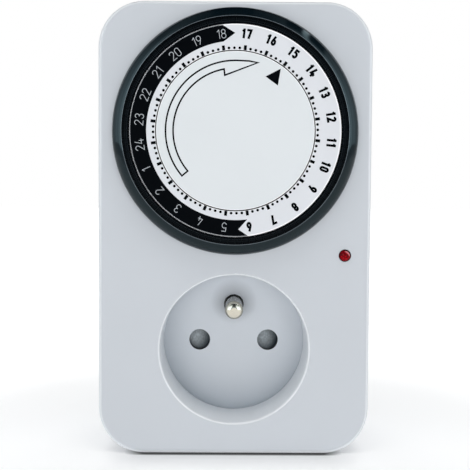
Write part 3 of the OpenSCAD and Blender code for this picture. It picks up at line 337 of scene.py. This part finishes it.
SURFACES = {
    "housing_plastic": housing_finish(
        # painted light on the recess's wall and lip
        srgb(201, 206, 212), (in_recess, srgb(240, 243, 246)),
        # a narrow painted shade in the recess's corner
        (near_corner(0.9, 1.0), CORNER_SHADE)),
    # A lighter copy of the housing's colour, as painted light on the recess's floor
    "socket_floor_plastic": housing_finish(
        # painted shade from the corner over most of the floor, darkest low and to the left
        srgb(210, 215, 221), (near_corner(16, 1.6), CORNER_SHADE),
        # painted shade in the holes and a painted shadow round the earth pin
        (in_bores, srgb(12, 13, 15))),
    "black_plastic": dict(colour=srgb(4, 6, 8), rough=0.38, tone=0.15, specular=0.05),
    # A painted highlight along the rim's inner edge
    "dial_rim_plastic": dict(
        colour=srgb(7, 18, 24), rough=0.08, tone=0.1, rough_spread=0.01, bump=0.02, specular=0.4,
        edge=(0.76, 0.95, 1), tints=((dial_ring(28.98, 0.1), srgb(98, 106, 112)),)),
    # Two painted highlights round the tabs
    "tab_plastic": dict(
        colour=srgb(3, 6, 9), rough=0.3, tone=0.2, specular=0.04,
        tints=((dial_ring(27.6, 0.12), srgb(26, 32, 37)),
               (dial_ring(28.05, 0.1), srgb(20, 26, 30)))),
    # A painted highlight along the label's outer edge
    "hour_ring_print": dict(
        colour=srgb(221, 224, 229), tints=((dial_ring(26.75, 0.25), PALE), DISC_GAP_LIGHT), **PRINTED),
    "disc_plastic": dict(colour=srgb(223, 228, 231), tints=(DISC_GAP_LIGHT,), **PRINTED),
    "plate_plastic": dict(colour=srgb(226, 223, 212), rough=0.5),
    "gear_plastic": dict(colour=srgb(222, 214, 190), rough=0.4),
    "gearbox_plastic": dict(colour=srgb(198, 194, 184), rough=0.45),
    "follower_plastic": dict(colour=srgb(196, 62, 44), rough=0.35),
    "shutter_plastic": dict(colour=srgb(184, 194, 200), rough=0.55, tone=0.1, patch=300),
    "slide_plastic": dict(colour=srgb(74, 80, 86), rough=0.45),
    "board": dict(colour=srgb(214, 208, 188), rough=0.7),
    "lead_insulation": dict(colour=srgb(52, 84, 150), rough=0.4),
    "screw_steel": dict(colour=srgb(168, 168, 164), rough=0.34, metal=1.0, tone=0.12, grain=1800),
    "arbor_steel": dict(colour=srgb(186, 186, 182), rough=0.22, metal=1.0, tone=0.08, grain=1800),
    "motor_steel": dict(colour=srgb(172, 174, 172), rough=0.32, metal=1.0, tone=0.12, patch=90),
    "brass": dict(colour=srgb(214, 182, 108), rough=0.28, metal=1.0, tone=0.1, patch=120),
    "nickel_plate": dict(
        colour=NICKEL, rough=0.14, metal=1.0, tone=0.08, patch=300, edge=NICKEL_EDGE),
    "copper_alloy": dict(colour=srgb(206, 136, 96), rough=0.3, metal=1.0, tone=0.12),
    "copper_wire": dict(colour=srgb(176, 92, 52), rough=0.35, metal=0.6, tone=0.15),
    "magnet": dict(colour=srgb(70, 70, 74), rough=0.5, metal=0.3),
    "bulb_glass": dict(colour=srgb(232, 170, 120), rough=0.1, tone=0.05),
    "ink_black": dict(colour=srgb(3, 5, 8), rough=0.45, tone=0.1, bump=0.02, specular=0.03),
    "ink_white": dict(colour=srgb(182, 188, 194), rough=0.45, tone=0.01, bump=0.02, specular=0.1),
}

# The lens's facets a metre, and radii about its middle: its rim's painted shade, its painted
# highlight arc and the painted shade beyond the arc, both high on the right
LENS_FACETS = 2400.0
LENS_RIM = (1.15 * MM, 1.5 * MM)
LENS_ARC_R, LENS_ARC_HALF, LENS_ARC_STRENGTH = 1.02 * MM, 0.26 * MM, 0.75
LENS_BEYOND_ARC = (1.22 * MM, 1.36 * MM)
LENS_UPPER_RIGHT = (0.9 * MM, 1.3 * MM)


def lens_material():
    """Red plastic with moulded facets, painted shade at its rim, and high on the right a painted
    highlight arc with painted shade beyond it.
    """
    material, n = empty_material("lamp_red")
    place = n.place()
    low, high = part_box("lamp_lens")
    x, _, z = n.xyz(place)
    across = n.minus(x, (low.x + high.x) / 2)
    rise = n.minus(z, (low.z + high.z) / 2)
    radius = n.length(across, rise)
    facets = n.add("ShaderNodeTexVoronoi", {"Vector": place, "Scale": LENS_FACETS})
    facets = facets.outputs["Distance"]
    base = n.mix(n.fade_in(facets, 0.1, 0.7), srgb(190, 4, 20), srgb(92, 2, 10))
    base = n.mix(n.fade_in(radius, *LENS_RIM), base, srgb(48, 0, 6))
    upper_right = n.fade_in(n.plus(across, rise), *LENS_UPPER_RIGHT)
    arc = n.times(upper_right, n.line_at(radius, LENS_ARC_R, LENS_ARC_HALF))
    base = n.mix(n.times(arc, LENS_ARC_STRENGTH), base, srgb(232, 150, 156))
    beyond = n.times(upper_right, n.fade_in(radius, *LENS_BEYOND_ARC))
    base = n.mix(beyond, base, srgb(20, 0, 3))
    n.principled({
        "Base Color": base, "Roughness": n.spread(facets, 0.06, 0.2),
        "Normal": n.relief(facets, 0.35, 0.05), "Specular IOR Level": 0.08})
    return material


# Depths behind the pin's tip where its bright end turns into the shank, and in front of the
# floor's face where the painted shade on the shank sets in
PIN_END_FROM, PIN_END_TO = 1.9 * MM, 2.3 * MM
SHANK_SHADE_FROM, SHANK_SHADE_TO = 1.7 * MM, 1.1 * MM
PIN_MOTTLE, PIN_MOTTLE_SPAN = 1900.0, (0.42, 0.58)
PIN_GRAIN = 1800.0
SHANK_METAL = 0.25


def pin_material():
    """Nickel plate: a bright round end, and a mottled shank with painted shade where it is in its
    hole.
    """
    material, n = empty_material("earth_pin_plate")
    place = n.place()
    depth = n.xyz(place)[1]
    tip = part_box("earth_pin")[0].y
    mottle = n.fade_in(n.noise(place, PIN_MOTTLE, 1.0), *PIN_MOTTLE_SPAN)
    shank = n.mix(mottle, srgb(116, 117, 115), srgb(188, 188, 182))
    in_hole = n.fade_in(depth, FLOOR_Y - SHANK_SHADE_FROM, FLOOR_Y - SHANK_SHADE_TO)
    # Painted shade on the shank where it is in its hole
    shank = n.mix(in_hole, shank, srgb(16, 16, 16))
    behind_end = n.fade_in(depth, tip + PIN_END_FROM, tip + PIN_END_TO)
    fine = n.noise(place, PIN_GRAIN)
    n.principled({
        "Base Color": n.mix(behind_end, NICKEL, shank), "Roughness": n.spread(fine, 0.1, 0.18),
        "Metallic": n.remap(behind_end, 1.0, SHANK_METAL, 0.0, 1.0),
        "Normal": n.relief(fine), "Specular Tint": (*NICKEL_EDGE, 1)})
    return material


SHUTTER_STREAKS = 2600.0
STREAK_STRETCH = (1.0, 1.0, 0.15)
STREAK_STRENGTH = 0.35
# Points about the nearer contact hole's centre, and how far from them the painted light and shade
# reach
SHUTTER_PALE_AT, SHUTTER_PALE_SPAN = (-1.3 * MM, 0.6 * MM), (0.8 * MM, 4.2 * MM)
SHUTTER_SHADE_AT, SHUTTER_SHADE_SPAN = (0.0, -0.3 * MM), (3.3 * MM, 4.3 * MM)


def shutter_material():
    """Grey plastic, with painted light high on the left behind each contact hole and painted shade
    low on the right.
    """
    material, n = empty_material("shutter_shaded")
    place = n.place()
    x, _, z = n.xyz(place)
    from_hole = n.times(n.minus(n.math("ABSOLUTE", x), HOLE_X), n.math("SIGN", x))

    def away_from(across, rise):
        """Distance from a point given about the nearer contact hole's centre."""
        return n.from_axis(from_hole, z, across, SOCKET_Z + rise)

    stretched = n.vector_math("MULTIPLY", place, STREAK_STRETCH)
    streaks = n.noise(stretched, SHUTTER_STREAKS, 1.0)
    pale_to_dark = n.fade_in(away_from(*SHUTTER_PALE_AT), *SHUTTER_PALE_SPAN)
    shade = n.mix(pale_to_dark, srgb(222, 232, 238), srgb(44, 52, 60))
    shade = n.mix(n.spread(streaks, 0.0, STREAK_STRENGTH), shade, srgb(70, 80, 88))
    behind_hole = n.fade_out(away_from(*SHUTTER_SHADE_AT), *SHUTTER_SHADE_SPAN)
    n.principled({
        "Base Color": n.mix(behind_hole, srgb(168, 176, 182), shade),
        "Roughness": n.spread(streaks, 0.5, 0.6), "Normal": n.relief(streaks),
        "Specular IOR Level": 0.3})
    return material


MATERIALS = {name: surface(name, **finish) for name, finish in SURFACES.items()}
MATERIALS["lamp_red"] = lens_material()


def dress_nodes():
    """Each node takes the material of its slot, but three have one of their own."""
    for part in frame["record"]["subparts"]:
        node = NODES[part["node"]]
        if not node.material_slots:
            node.data.materials.append(None)
        for slot in node.material_slots:
            slot.material = MATERIALS[part["material_slot"]]
    NODES["earth_pin"].material_slots[0].material = pin_material()
    NODES["socket_shutter"].material_slots[0].material = shutter_material()
    NODES["socket_floor"].material_slots[0].material = MATERIALS["socket_floor_plastic"]


# ---- Flat print, drawn in millimetres about the dial's centre ----

INK_T = 0.02
RAISE_STEP, RAISE_LEVELS = 0.002, 3
# Degrees between two points of a curve
ARC_STEP, ELLIPSE_STEP = 2.0, 15
MITRE_LIMIT = 2.6
MIN_COSINE = 0.05


def polar(radius, degrees):
    """The point at a radius and an angle clockwise from the top."""
    a = math.radians(degrees)
    return (radius * math.sin(a), radius * math.cos(a))


def arc_points(radius, start, end):
    """Points of an arc about the dial's centre, angles as in polar."""
    count = max(2, math.ceil(abs(end - start) / ARC_STEP))
    return [polar(radius, start + (end - start) * i / count) for i in range(count + 1)]


def ellipse(cx, cy, rx, ry, start, end):
    """Points of an ellipse, anticlockwise from +x for growing angles."""
    count = max(3, math.ceil(abs(end - start) / ELLIPSE_STEP))
    angles = [math.radians(start + (end - start) * i / count) for i in range(count + 1)]
    return [(cx + rx * math.cos(a), cy + ry * math.sin(a)) for a in angles]


def offset_sides(points, half, closed):
    """The lines half a pen's width to the left and right of points, with mitred corners."""
    points = [Vector(p) for p in points]
    count = len(points)
    left, right = [], []
    for i, point in enumerate(points):
        before = points[i - 1] if closed or i else None
        after = points[(i + 1) % count] if closed or i < count - 1 else None
        ahead = (after - point).normalized() if after else (point - before).normalized()
        behind = (point - before).normalized() if before else ahead
        along = (ahead + behind).normalized()
        across = Vector((-along.y, along.x))
        cosine = across.dot(Vector((-ahead.y, ahead.x)))
        reach = min(MITRE_LIMIT, 1 / max(MIN_COSINE, cosine))
        left.append(tuple(point + across * half * reach))
        right.append(tuple(point - across * half * reach))
    return left, right


class Print:
    """One piece of ink: closed prisms from just behind a carrier's face to INK_T in front of it.

    raised counts the steps by which a stroke stands in front of the others that it crosses.
    """

    def __init__(self, face_y):
        self.mesh = bmesh.new()
        self.front = face_y - INK_T * MM
        self.back = face_y + INK_T * MM
        self.raised = 0

    def vertex(self, point, y):
        return self.mesh.verts.new((DIAL_X + point[0] * MM, y, DIAL_Z + point[1] * MM))

    def rows(self, points):
        """The front and the back vertices over points."""
        front = self.front - self.raised * RAISE_STEP * MM
        return [self.vertex(p, front) for p in points], [self.vertex(p, self.back) for p in points]

    def shape(self, outline):
        """A prism on a simple outline."""
        front, back = self.rows(outline)
        self.mesh.faces.new(front)
        self.mesh.faces.new(back[::-1])
        for i in range(len(outline)):
            j = (i + 1) % len(outline)
            self.mesh.faces.new((front[i], back[i], back[j], front[j]))

    def ring(self, outer, inner):
        """A prism between two closed outlines with as many points each."""
        front_out, back_out = self.rows(outer)
        front_in, back_in = self.rows(inner)
        for i in range(len(outer)):
            j = (i + 1) % len(outer)
            self.mesh.faces.new((front_out[i], front_out[j], front_in[j], front_in[i]))
            self.mesh.faces.new((back_out[i], back_in[i], back_in[j], back_out[j]))
            self.mesh.faces.new((front_out[i], back_out[i], back_out[j], front_out[j]))
            self.mesh.faces.new((front_in[i], front_in[j], back_in[j], back_in[i]))

    def stroke(self, points, width, closed=False):
        """A pen line of one width along points."""
        left, right = offset_sides(points, width / 2, closed)
        if closed:
            self.ring(left, right)
        else:
            self.shape(left + right[::-1])

    def finish(self, name, body, slot, material):
        """Makes the piece with its material and puts it on its body; slot is not used."""
        bmesh.ops.recalc_face_normals(self.mesh, faces=self.mesh.faces)
        bmesh.ops.triangulate(self.mesh, faces=[f for f in self.mesh.faces if len(f.verts) > 4],
                              ngon_method="EAR_CLIP")
        data = bpy.data.meshes.new(name)
        self.mesh.to_mesh(data)
        self.mesh.free()
        data.materials.append(MATERIALS[material])
        piece = bpy.data.objects.new(name, data)
        bpy.context.scene.collection.objects.link(piece)
        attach(piece, body)


# A digit's height and width, the width of a 1 (which grows with the pen), the gap between two
# digits, and the pen's width for the day's and for the night's numbers
DIGIT_H = 2.46
DIGIT_W = 1.33
ONE_W, ONE_GROWTH = 0.62, 0.5
DIGIT_GAP = 0.40
BOLD, THIN = 0.59, 0.17
NUMBER_R = 24.55
NIGHT_SIZE = 0.94
HOUR_STEP = 15
HOUR_17_AT = 6.4
DAY_HOURS = range(6, 18)
NIGHT_HOURS = (*range(18, 25), *range(1, 6))


def digit_strokes(digit, w, h, pen):
    """(points, closed) for each pen line of a digit; the pen overhangs the w by h box by half.

    The fractions of w and h are the glyphs' own proportions.
    """
    e = pen / 2
    mid = w / 2
    if digit == "0":
        top = ellipse(mid, h - mid, mid, mid, 0, 180)
        bottom = ellipse(mid, mid, mid, mid, 180, 360)
        return [(top + bottom, True)]
    if digit == "1":
        flag = [(-0.25 * e, h - 0.2 * DIGIT_H), (w, h + 0.1 * e)]
        return [(flag, False), ([(w, -e), (w, h + e)], False)]
    if digit == "2":
        return [(ellipse(mid, h - mid, mid, mid, 178, -35) + [(0, 0), (w + e, 0)], False)]
    if digit == "3":
        waist = [(mid - e, 0.53 * h)]
        upper = ellipse(mid, 0.765 * h, mid * 0.94, 0.235 * h, 165, -90)
        lower = ellipse(mid, 0.265 * h, mid, 0.265 * h, 90, -165)
        return [(upper + waist, False), (waist + lower, False)]
    if digit == "4":
        return [([(0.52 * w, h + e), (0, 0.24 * h), (w + 1.3 * e, 0.24 * h)], False),
                ([(0.74 * w, 0.52 * h), (0.74 * w, -e)], False)]
    if digit == "5":
        side = 0.06 * w
        bowl = ellipse(mid, 0.31 * h, mid, 0.31 * h, 128, -160)
        return [([(w + 0.5 * e, h), (side, h), (side, 0.5 * h)], False), (bowl, False)]
    if digit == "6":
        bowl = ellipse(mid, 0.3 * h, mid, 0.3 * h, 0, 345)
        return [(bowl, True), ([(0.03 * w, 0.40 * h), (0.66 * w, h + e)], False)]
    if digit == "7":
        return [([(-e, h), (w, h), (0.3 * w, -e)], False)]
    if digit == "8":
        return [(ellipse(mid, 0.76 * h, mid * 0.88, 0.24 * h, 0, 345), True),
                (ellipse(mid, 0.27 * h, mid, 0.27 * h, 0, 345), True)]
    # A 9 is a 6 turned upside down
    return [([(w - x, h - y) for x, y in points], closed)
            for points, closed in digit_strokes("6", w, h, pen)]


def write_number(ink, number, degrees, pen, size=1.0):
    """A number centred on the hour numbers' circle at an angle of the dial, its top outwards."""
    text = str(number)
    widths = [ONE_W + ONE_GROWTH * pen if d == "1" else DIGIT_W for d in text]
    total = sum(widths) + DIGIT_GAP * (len(text) - 1)
    outward = Vector(polar(1, degrees))
    rightward = Vector((outward.y, -outward.x))
    x = -total / 2
    for digit, width in zip(text, widths):
        for points, closed in digit_strokes(digit, width - pen, DIGIT_H - pen, pen):
            placed = []
            for px, py in points:
                along = (x + pen / 2 + px) * size
                rise = NUMBER_R + (py + pen / 2 - DIGIT_H / 2) * size
                placed.append(tuple(rightward * along + outward * rise))
            ink.stroke(placed, pen * size, closed)
            ink.raised = (ink.raised + 1) % RAISE_LEVELS
        x += width + DIGIT_GAP
    ink.raised = 0


def hour_angle(hour):
    """Where an hour stands on the dial, clockwise from the top; the hours run anticlockwise."""
    return (17 - hour) * HOUR_STEP + HOUR_17_AT


def print_hour_ring():
    """The night band, the marks and the numbers, which turn with the dial."""
    label_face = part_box("dial_label")[0].y

    band = Print(label_face)
    outer_edge = arc_points(26.84, -7.5, -187.2)
    inner_edge = arc_points(22.62, -188, -8)
    night_end, night_start = polar(25.0, 178), polar(24.6, -0.5)
    band.shape(outer_edge + [night_end] + inner_edge + [night_start])
    band.finish("night_band", "dial", "black_plastic", "ink_black")

    marks = Print(label_face)
    bar_in, bar_out, bar_w = 20.42, 21.64, 0.74
    dot_r, dot_at, dot_sides = 0.35, 20.87, 12
    for hour in range(1, 25):
        at = hour_angle(hour)
        marks.stroke([polar(bar_in, at), polar(bar_out, at)], bar_w)
        for quarter in (1, 2, 3):
            cx, cy = polar(dot_at, at + quarter * HOUR_STEP / 4)
            turns = [2 * math.pi * k / dot_sides for k in range(dot_sides)]
            marks.shape([(cx + dot_r * math.cos(t), cy + dot_r * math.sin(t)) for t in turns])
    marks.finish("hour_marks", "dial", "black_plastic", "ink_black")

    day = Print(label_face)
    for hour in DAY_HOURS:
        write_number(day, hour, hour_angle(hour), BOLD)
    day.finish("day_numbers", "dial", "black_plastic", "ink_black")

    night = Print(label_face - INK_T * MM)
    outline_w = 0.065
    night.stroke(arc_points(26.73, -7, -186.5), outline_w)
    for hour in NIGHT_HOURS:
        write_number(night, hour, hour_angle(hour), THIN, NIGHT_SIZE)
    night.finish("night_numbers", "dial", "hour_ring_print", "ink_white")


def print_disc():
    """The turn arrow's outline and the time pointer, which stay as the dial turns."""
    disc_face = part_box("centre_disc")[0].y

    arrow = Print(disc_face)
    tail, line_w = -130.3, 0.41
    head = [polar(17.9, 10.6), polar(18.05, 17.9), polar(14.25, -11.3)]
    outline = arc_points(17.72, tail, 3) + head + arc_points(15.8, -10.8, tail)
    arrow.stroke(outline, line_w, closed=True)
    arrow.finish("turn_arrow", "housing", "black_plastic", "ink_black")

    pointer = Print(disc_face)
    at, tip_r, base_r, half = 35.8, 19.4, 15.55, 1.93
    foot = Vector(polar(base_r, at))
    across = Vector(polar(1, at + 90))
    pointer.shape([polar(tip_r, at), tuple(foot + across * half), tuple(foot - across * half)])
    pointer.finish("time_pointer", "housing", "black_plastic", "ink_black")


# ---- World ----

WHITE = (1, 1, 1, 1)
FILL, FILL_TINT = 0.23, (0.985, 0.99, 1.0, 1)
STUDIO_TINT = (0.82, 0.94, 1.0, 1)
EVEN_LEVEL, BEHIND_DROP, BEHIND = 0.5, 0.2, (-0.2, 0.3)
# The soft boxes beside the object: their level, where they start and end across, and along the
# depth axis each step's (level before, level after, start, end)
BOX_LEVEL = 2.2
BOX_ACROSS = (0.05, 1.0, 0.2, 0.4)
BOX_DEPTHS = ((0.1, 1.0, -0.95, -0.88), (1.0, 0.55, -0.7, -0.6), (1.0, 0.5, -0.25, -0.1),
              (1.0, 0.4, 0.1, 0.3))
# Sectors round the depth axis, (centre, half width) in degrees clockwise from the top
DARK_SECTORS = ((-1.0, 9.0), (27.2, 4.2), (39.5, 5.0))
DARK_DEPTH = 0.93
STREAK_SECTOR = (33.0, 1.6)
STREAK_LEVEL = 3.0
SECTOR_SOFT = 1.2
# Sectors show where the direction's y is small, and the studio is dimmer there near the top
SIDEWAYS = (0.55, 0.95)
OVERHEAD = (0.2, 1.0, 35.0, 75.0)
# A dimmer spot up in front, about this direction in y and z
SPOT_Y, SPOT_Z = -0.85, 0.527
SPOT = (1.0, 0.12, 0.93, 0.985)


def studio_level(n):
    """How bright the studio is in each direction."""
    x, y, z = n.xyz(n.add("ShaderNodeTexCoord").outputs["Generated"])
    turn = n.times(n.math("ARCTAN2", x, z), 180 / math.pi)

    def in_sector(centre, half):
        away = n.math("ABSOLUTE", n.minus(turn, centre))
        return n.fade_out(away, half - SECTOR_SOFT / 2, half + SECTOR_SOFT / 2)

    boxes = n.remap(n.math("ABSOLUTE", x), *BOX_ACROSS)
    for step in BOX_DEPTHS:
        boxes = n.times(boxes, n.remap(y, *step))
    level = n.minus(EVEN_LEVEL, n.times(n.fade_in(y, *BEHIND), BEHIND_DROP))
    level = n.plus(level, n.times(boxes, BOX_LEVEL))

    sideways = n.fade_out(n.math("ABSOLUTE", y), *SIDEWAYS)
    overhead = n.remap(n.math("ABSOLUTE", turn), *OVERHEAD)
    level = n.times(level, n.minus(1.0, n.times(sideways, n.minus(1.0, overhead))))
    dark = 0.0
    for sector in DARK_SECTORS:
        dark = n.math("MAXIMUM", dark, in_sector(*sector))
    level = n.times(level, n.minus(1.0, n.times(n.times(dark, DARK_DEPTH), sideways)))
    streak = n.times(in_sector(*STREAK_SECTOR), STREAK_LEVEL)
    level = n.plus(level, n.times(streak, sideways))
    up_front = n.plus(n.times(y, SPOT_Y), n.times(z, SPOT_Z))
    return n.times(level, n.remap(up_front, *SPOT))


def make_world():
    """White to the camera, an even fill as light, and the studio in what is glossy."""
    world = bpy.data.worlds.new("studio")
    world.use_nodes = True
    world.node_tree.nodes.clear()
    bpy.context.scene.world = world
    n = Nodes(world.node_tree)
    ray = n.add("ShaderNodeLightPath").outputs
    studio = n.add("ShaderNodeBackground", {"Color": STUDIO_TINT, "Strength": studio_level(n)})
    fill = n.add("ShaderNodeBackground", {"Color": FILL_TINT, "Strength": FILL})
    white = n.add("ShaderNodeBackground", {"Color": WHITE, "Strength": 1.0})
    lit = n.mix_shaders(ray["Is Glossy Ray"], fill, studio)
    shown = n.math("MAXIMUM", ray["Is Camera Ray"], ray["Is Transmission Ray"])
    n.show(n.mix_shaders(shown, lit, white), "ShaderNodeOutputWorld")


# ---- Lights: (place, size, power), all aimed at the middle of the object ----

LIGHT_TARGET = Vector((0, 0, 0.055))
LIGHTS = {
    "soft_front": ((0, -0.75, 0.06), (0.7, 0.2), 2.5),
    "soft_left": ((-0.65, -0.15, 0.12), (0.4, 0.4), 0.65),
    "soft_right": ((0.65, -0.15, 0.12), (0.4, 0.4), 0.65),
    "soft_top": ((0, -0.28, 0.68), (0.7, 0.3), 1.2),
    "soft_overhead": ((0, -0.1, 0.72), (0.7, 0.3), 0.6),
    "soft_back": ((0, 0.6, 0.4), (0.7, 0.4), 2.0),
}


def make_lights():
    """Area lights that neither the camera nor a glossy surface sees."""
    for name, (place, size, power) in LIGHTS.items():
        data = bpy.data.lights.new(name, "AREA")
        data.shape = "RECTANGLE"
        data.size, data.size_y = size
        data.energy = power
        light = bpy.data.objects.new(name, data)
        light.location = place
        light.rotation_mode = "QUATERNION"
        light.rotation_quaternion = (LIGHT_TARGET - Vector(place)).to_track_quat("-Z", "Y")
        light.visible_camera = False
        light.visible_glossy = False
        bpy.context.scene.collection.objects.link(light)


# ---- Floor ----

FLOOR_HALF = 6.0
FLOOR_DROP = 0.02 * MM
PAPER_PATCH = 3.0
PAPER_TONES = ((0.80, 0.81, 0.815, 1), (0.82, 0.825, 0.83, 1))
# The floor's own glow for the camera grows with the distance from the object's middle, and near
# the base it is less by a further share, as a painted shadow round the object
GLOW = (0.37, 1.0, 0.08, 0.26)
FOOT_GLOW = (0.25, 1.0, 1.0 * MM, 12.0 * MM)
# Its glow for glossy rays, and for diffuse rays, which lights the object from below
SHEEN = 0.3
BOUNCE = 0.3
# A painted contact shadow: a dark line round the base's flat middle, five times as wide at its
# sides
FOOT_HALF = (22.5 * MM, -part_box("front_shell")[0].y, 0)
CONTACT_SCALE = (0.2, 1.0, 1.0)
CONTACT_SPAN = (0.3 * MM, 1.3 * MM)
CONTACT_TONE, CONTACT_STRENGTH, CONTACT_GLOW = (0.02, 0.02, 0.022, 1), 0.9, 0.1


def floor_material():
    """White to the camera where nothing shades it, with a painted shadow round the object and a
    painted contact shadow round its base, and clear to the camera from below.
    """
    material, n = empty_material("floor_paper")
    place = n.place()
    ray = n.add("ShaderNodeLightPath").outputs
    outside = n.vector_math("SUBTRACT", n.vector_math("ABSOLUTE", place), FOOT_HALF)
    outside = n.vector_math("MAXIMUM", outside)
    from_foot = n.vector_math("LENGTH", outside)
    contact = n.vector_math("LENGTH", n.vector_math("MULTIPLY", outside, CONTACT_SCALE))
    tone = n.mix(n.noise(place, PAPER_PATCH), *PAPER_TONES)
    tone = n.mix(n.remap(contact, CONTACT_STRENGTH, 0.0, *CONTACT_SPAN), tone, CONTACT_TONE)
    paper = n.add("ShaderNodeBsdfDiffuse", {"Color": tone})

    glow = n.remap(n.vector_math("LENGTH", place), *GLOW)
    glow = n.times(glow, n.remap(from_foot, *FOOT_GLOW))
    glow = n.times(glow, n.remap(contact, CONTACT_GLOW, 1.0, *CONTACT_SPAN))
    level = n.plus(n.times(ray["Is Camera Ray"], glow),
                   n.plus(n.times(ray["Is Glossy Ray"], SHEEN),
                          n.times(ray["Is Diffuse Ray"], BOUNCE)))
    shine = n.add("ShaderNodeEmission", {"Color": WHITE, "Strength": level})
    lit_paper = n.add("ShaderNodeAddShader", {0: paper.outputs[0], 1: shine.outputs[0]})
    backfacing = n.add("ShaderNodeNewGeometry").outputs["Backfacing"]
    from_below = n.times(backfacing, ray["Is Camera Ray"])
    n.show(n.mix_shaders(from_below, lit_paper, n.add("ShaderNodeBsdfTransparent")))
    return material


def make_floor():
    data = bpy.data.meshes.new("floor")
    corners = ((-1, -1), (1, -1), (1, 1), (-1, 1))
    data.from_pydata([(x * FLOOR_HALF, y * FLOOR_HALF, 0) for x, y in corners], [], [(0, 1, 2, 3)])
    data.materials.append(floor_material())
    floor = bpy.data.objects.new("floor", data)
    floor.location.z = -FLOOR_DROP
    bpy.context.scene.collection.objects.link(floor)


make_camera()
dress_nodes()
print_hour_ring()
print_disc()
make_world()
make_lights()
make_floor()
bpy.context.scene.view_settings.view_transform = "Standard"
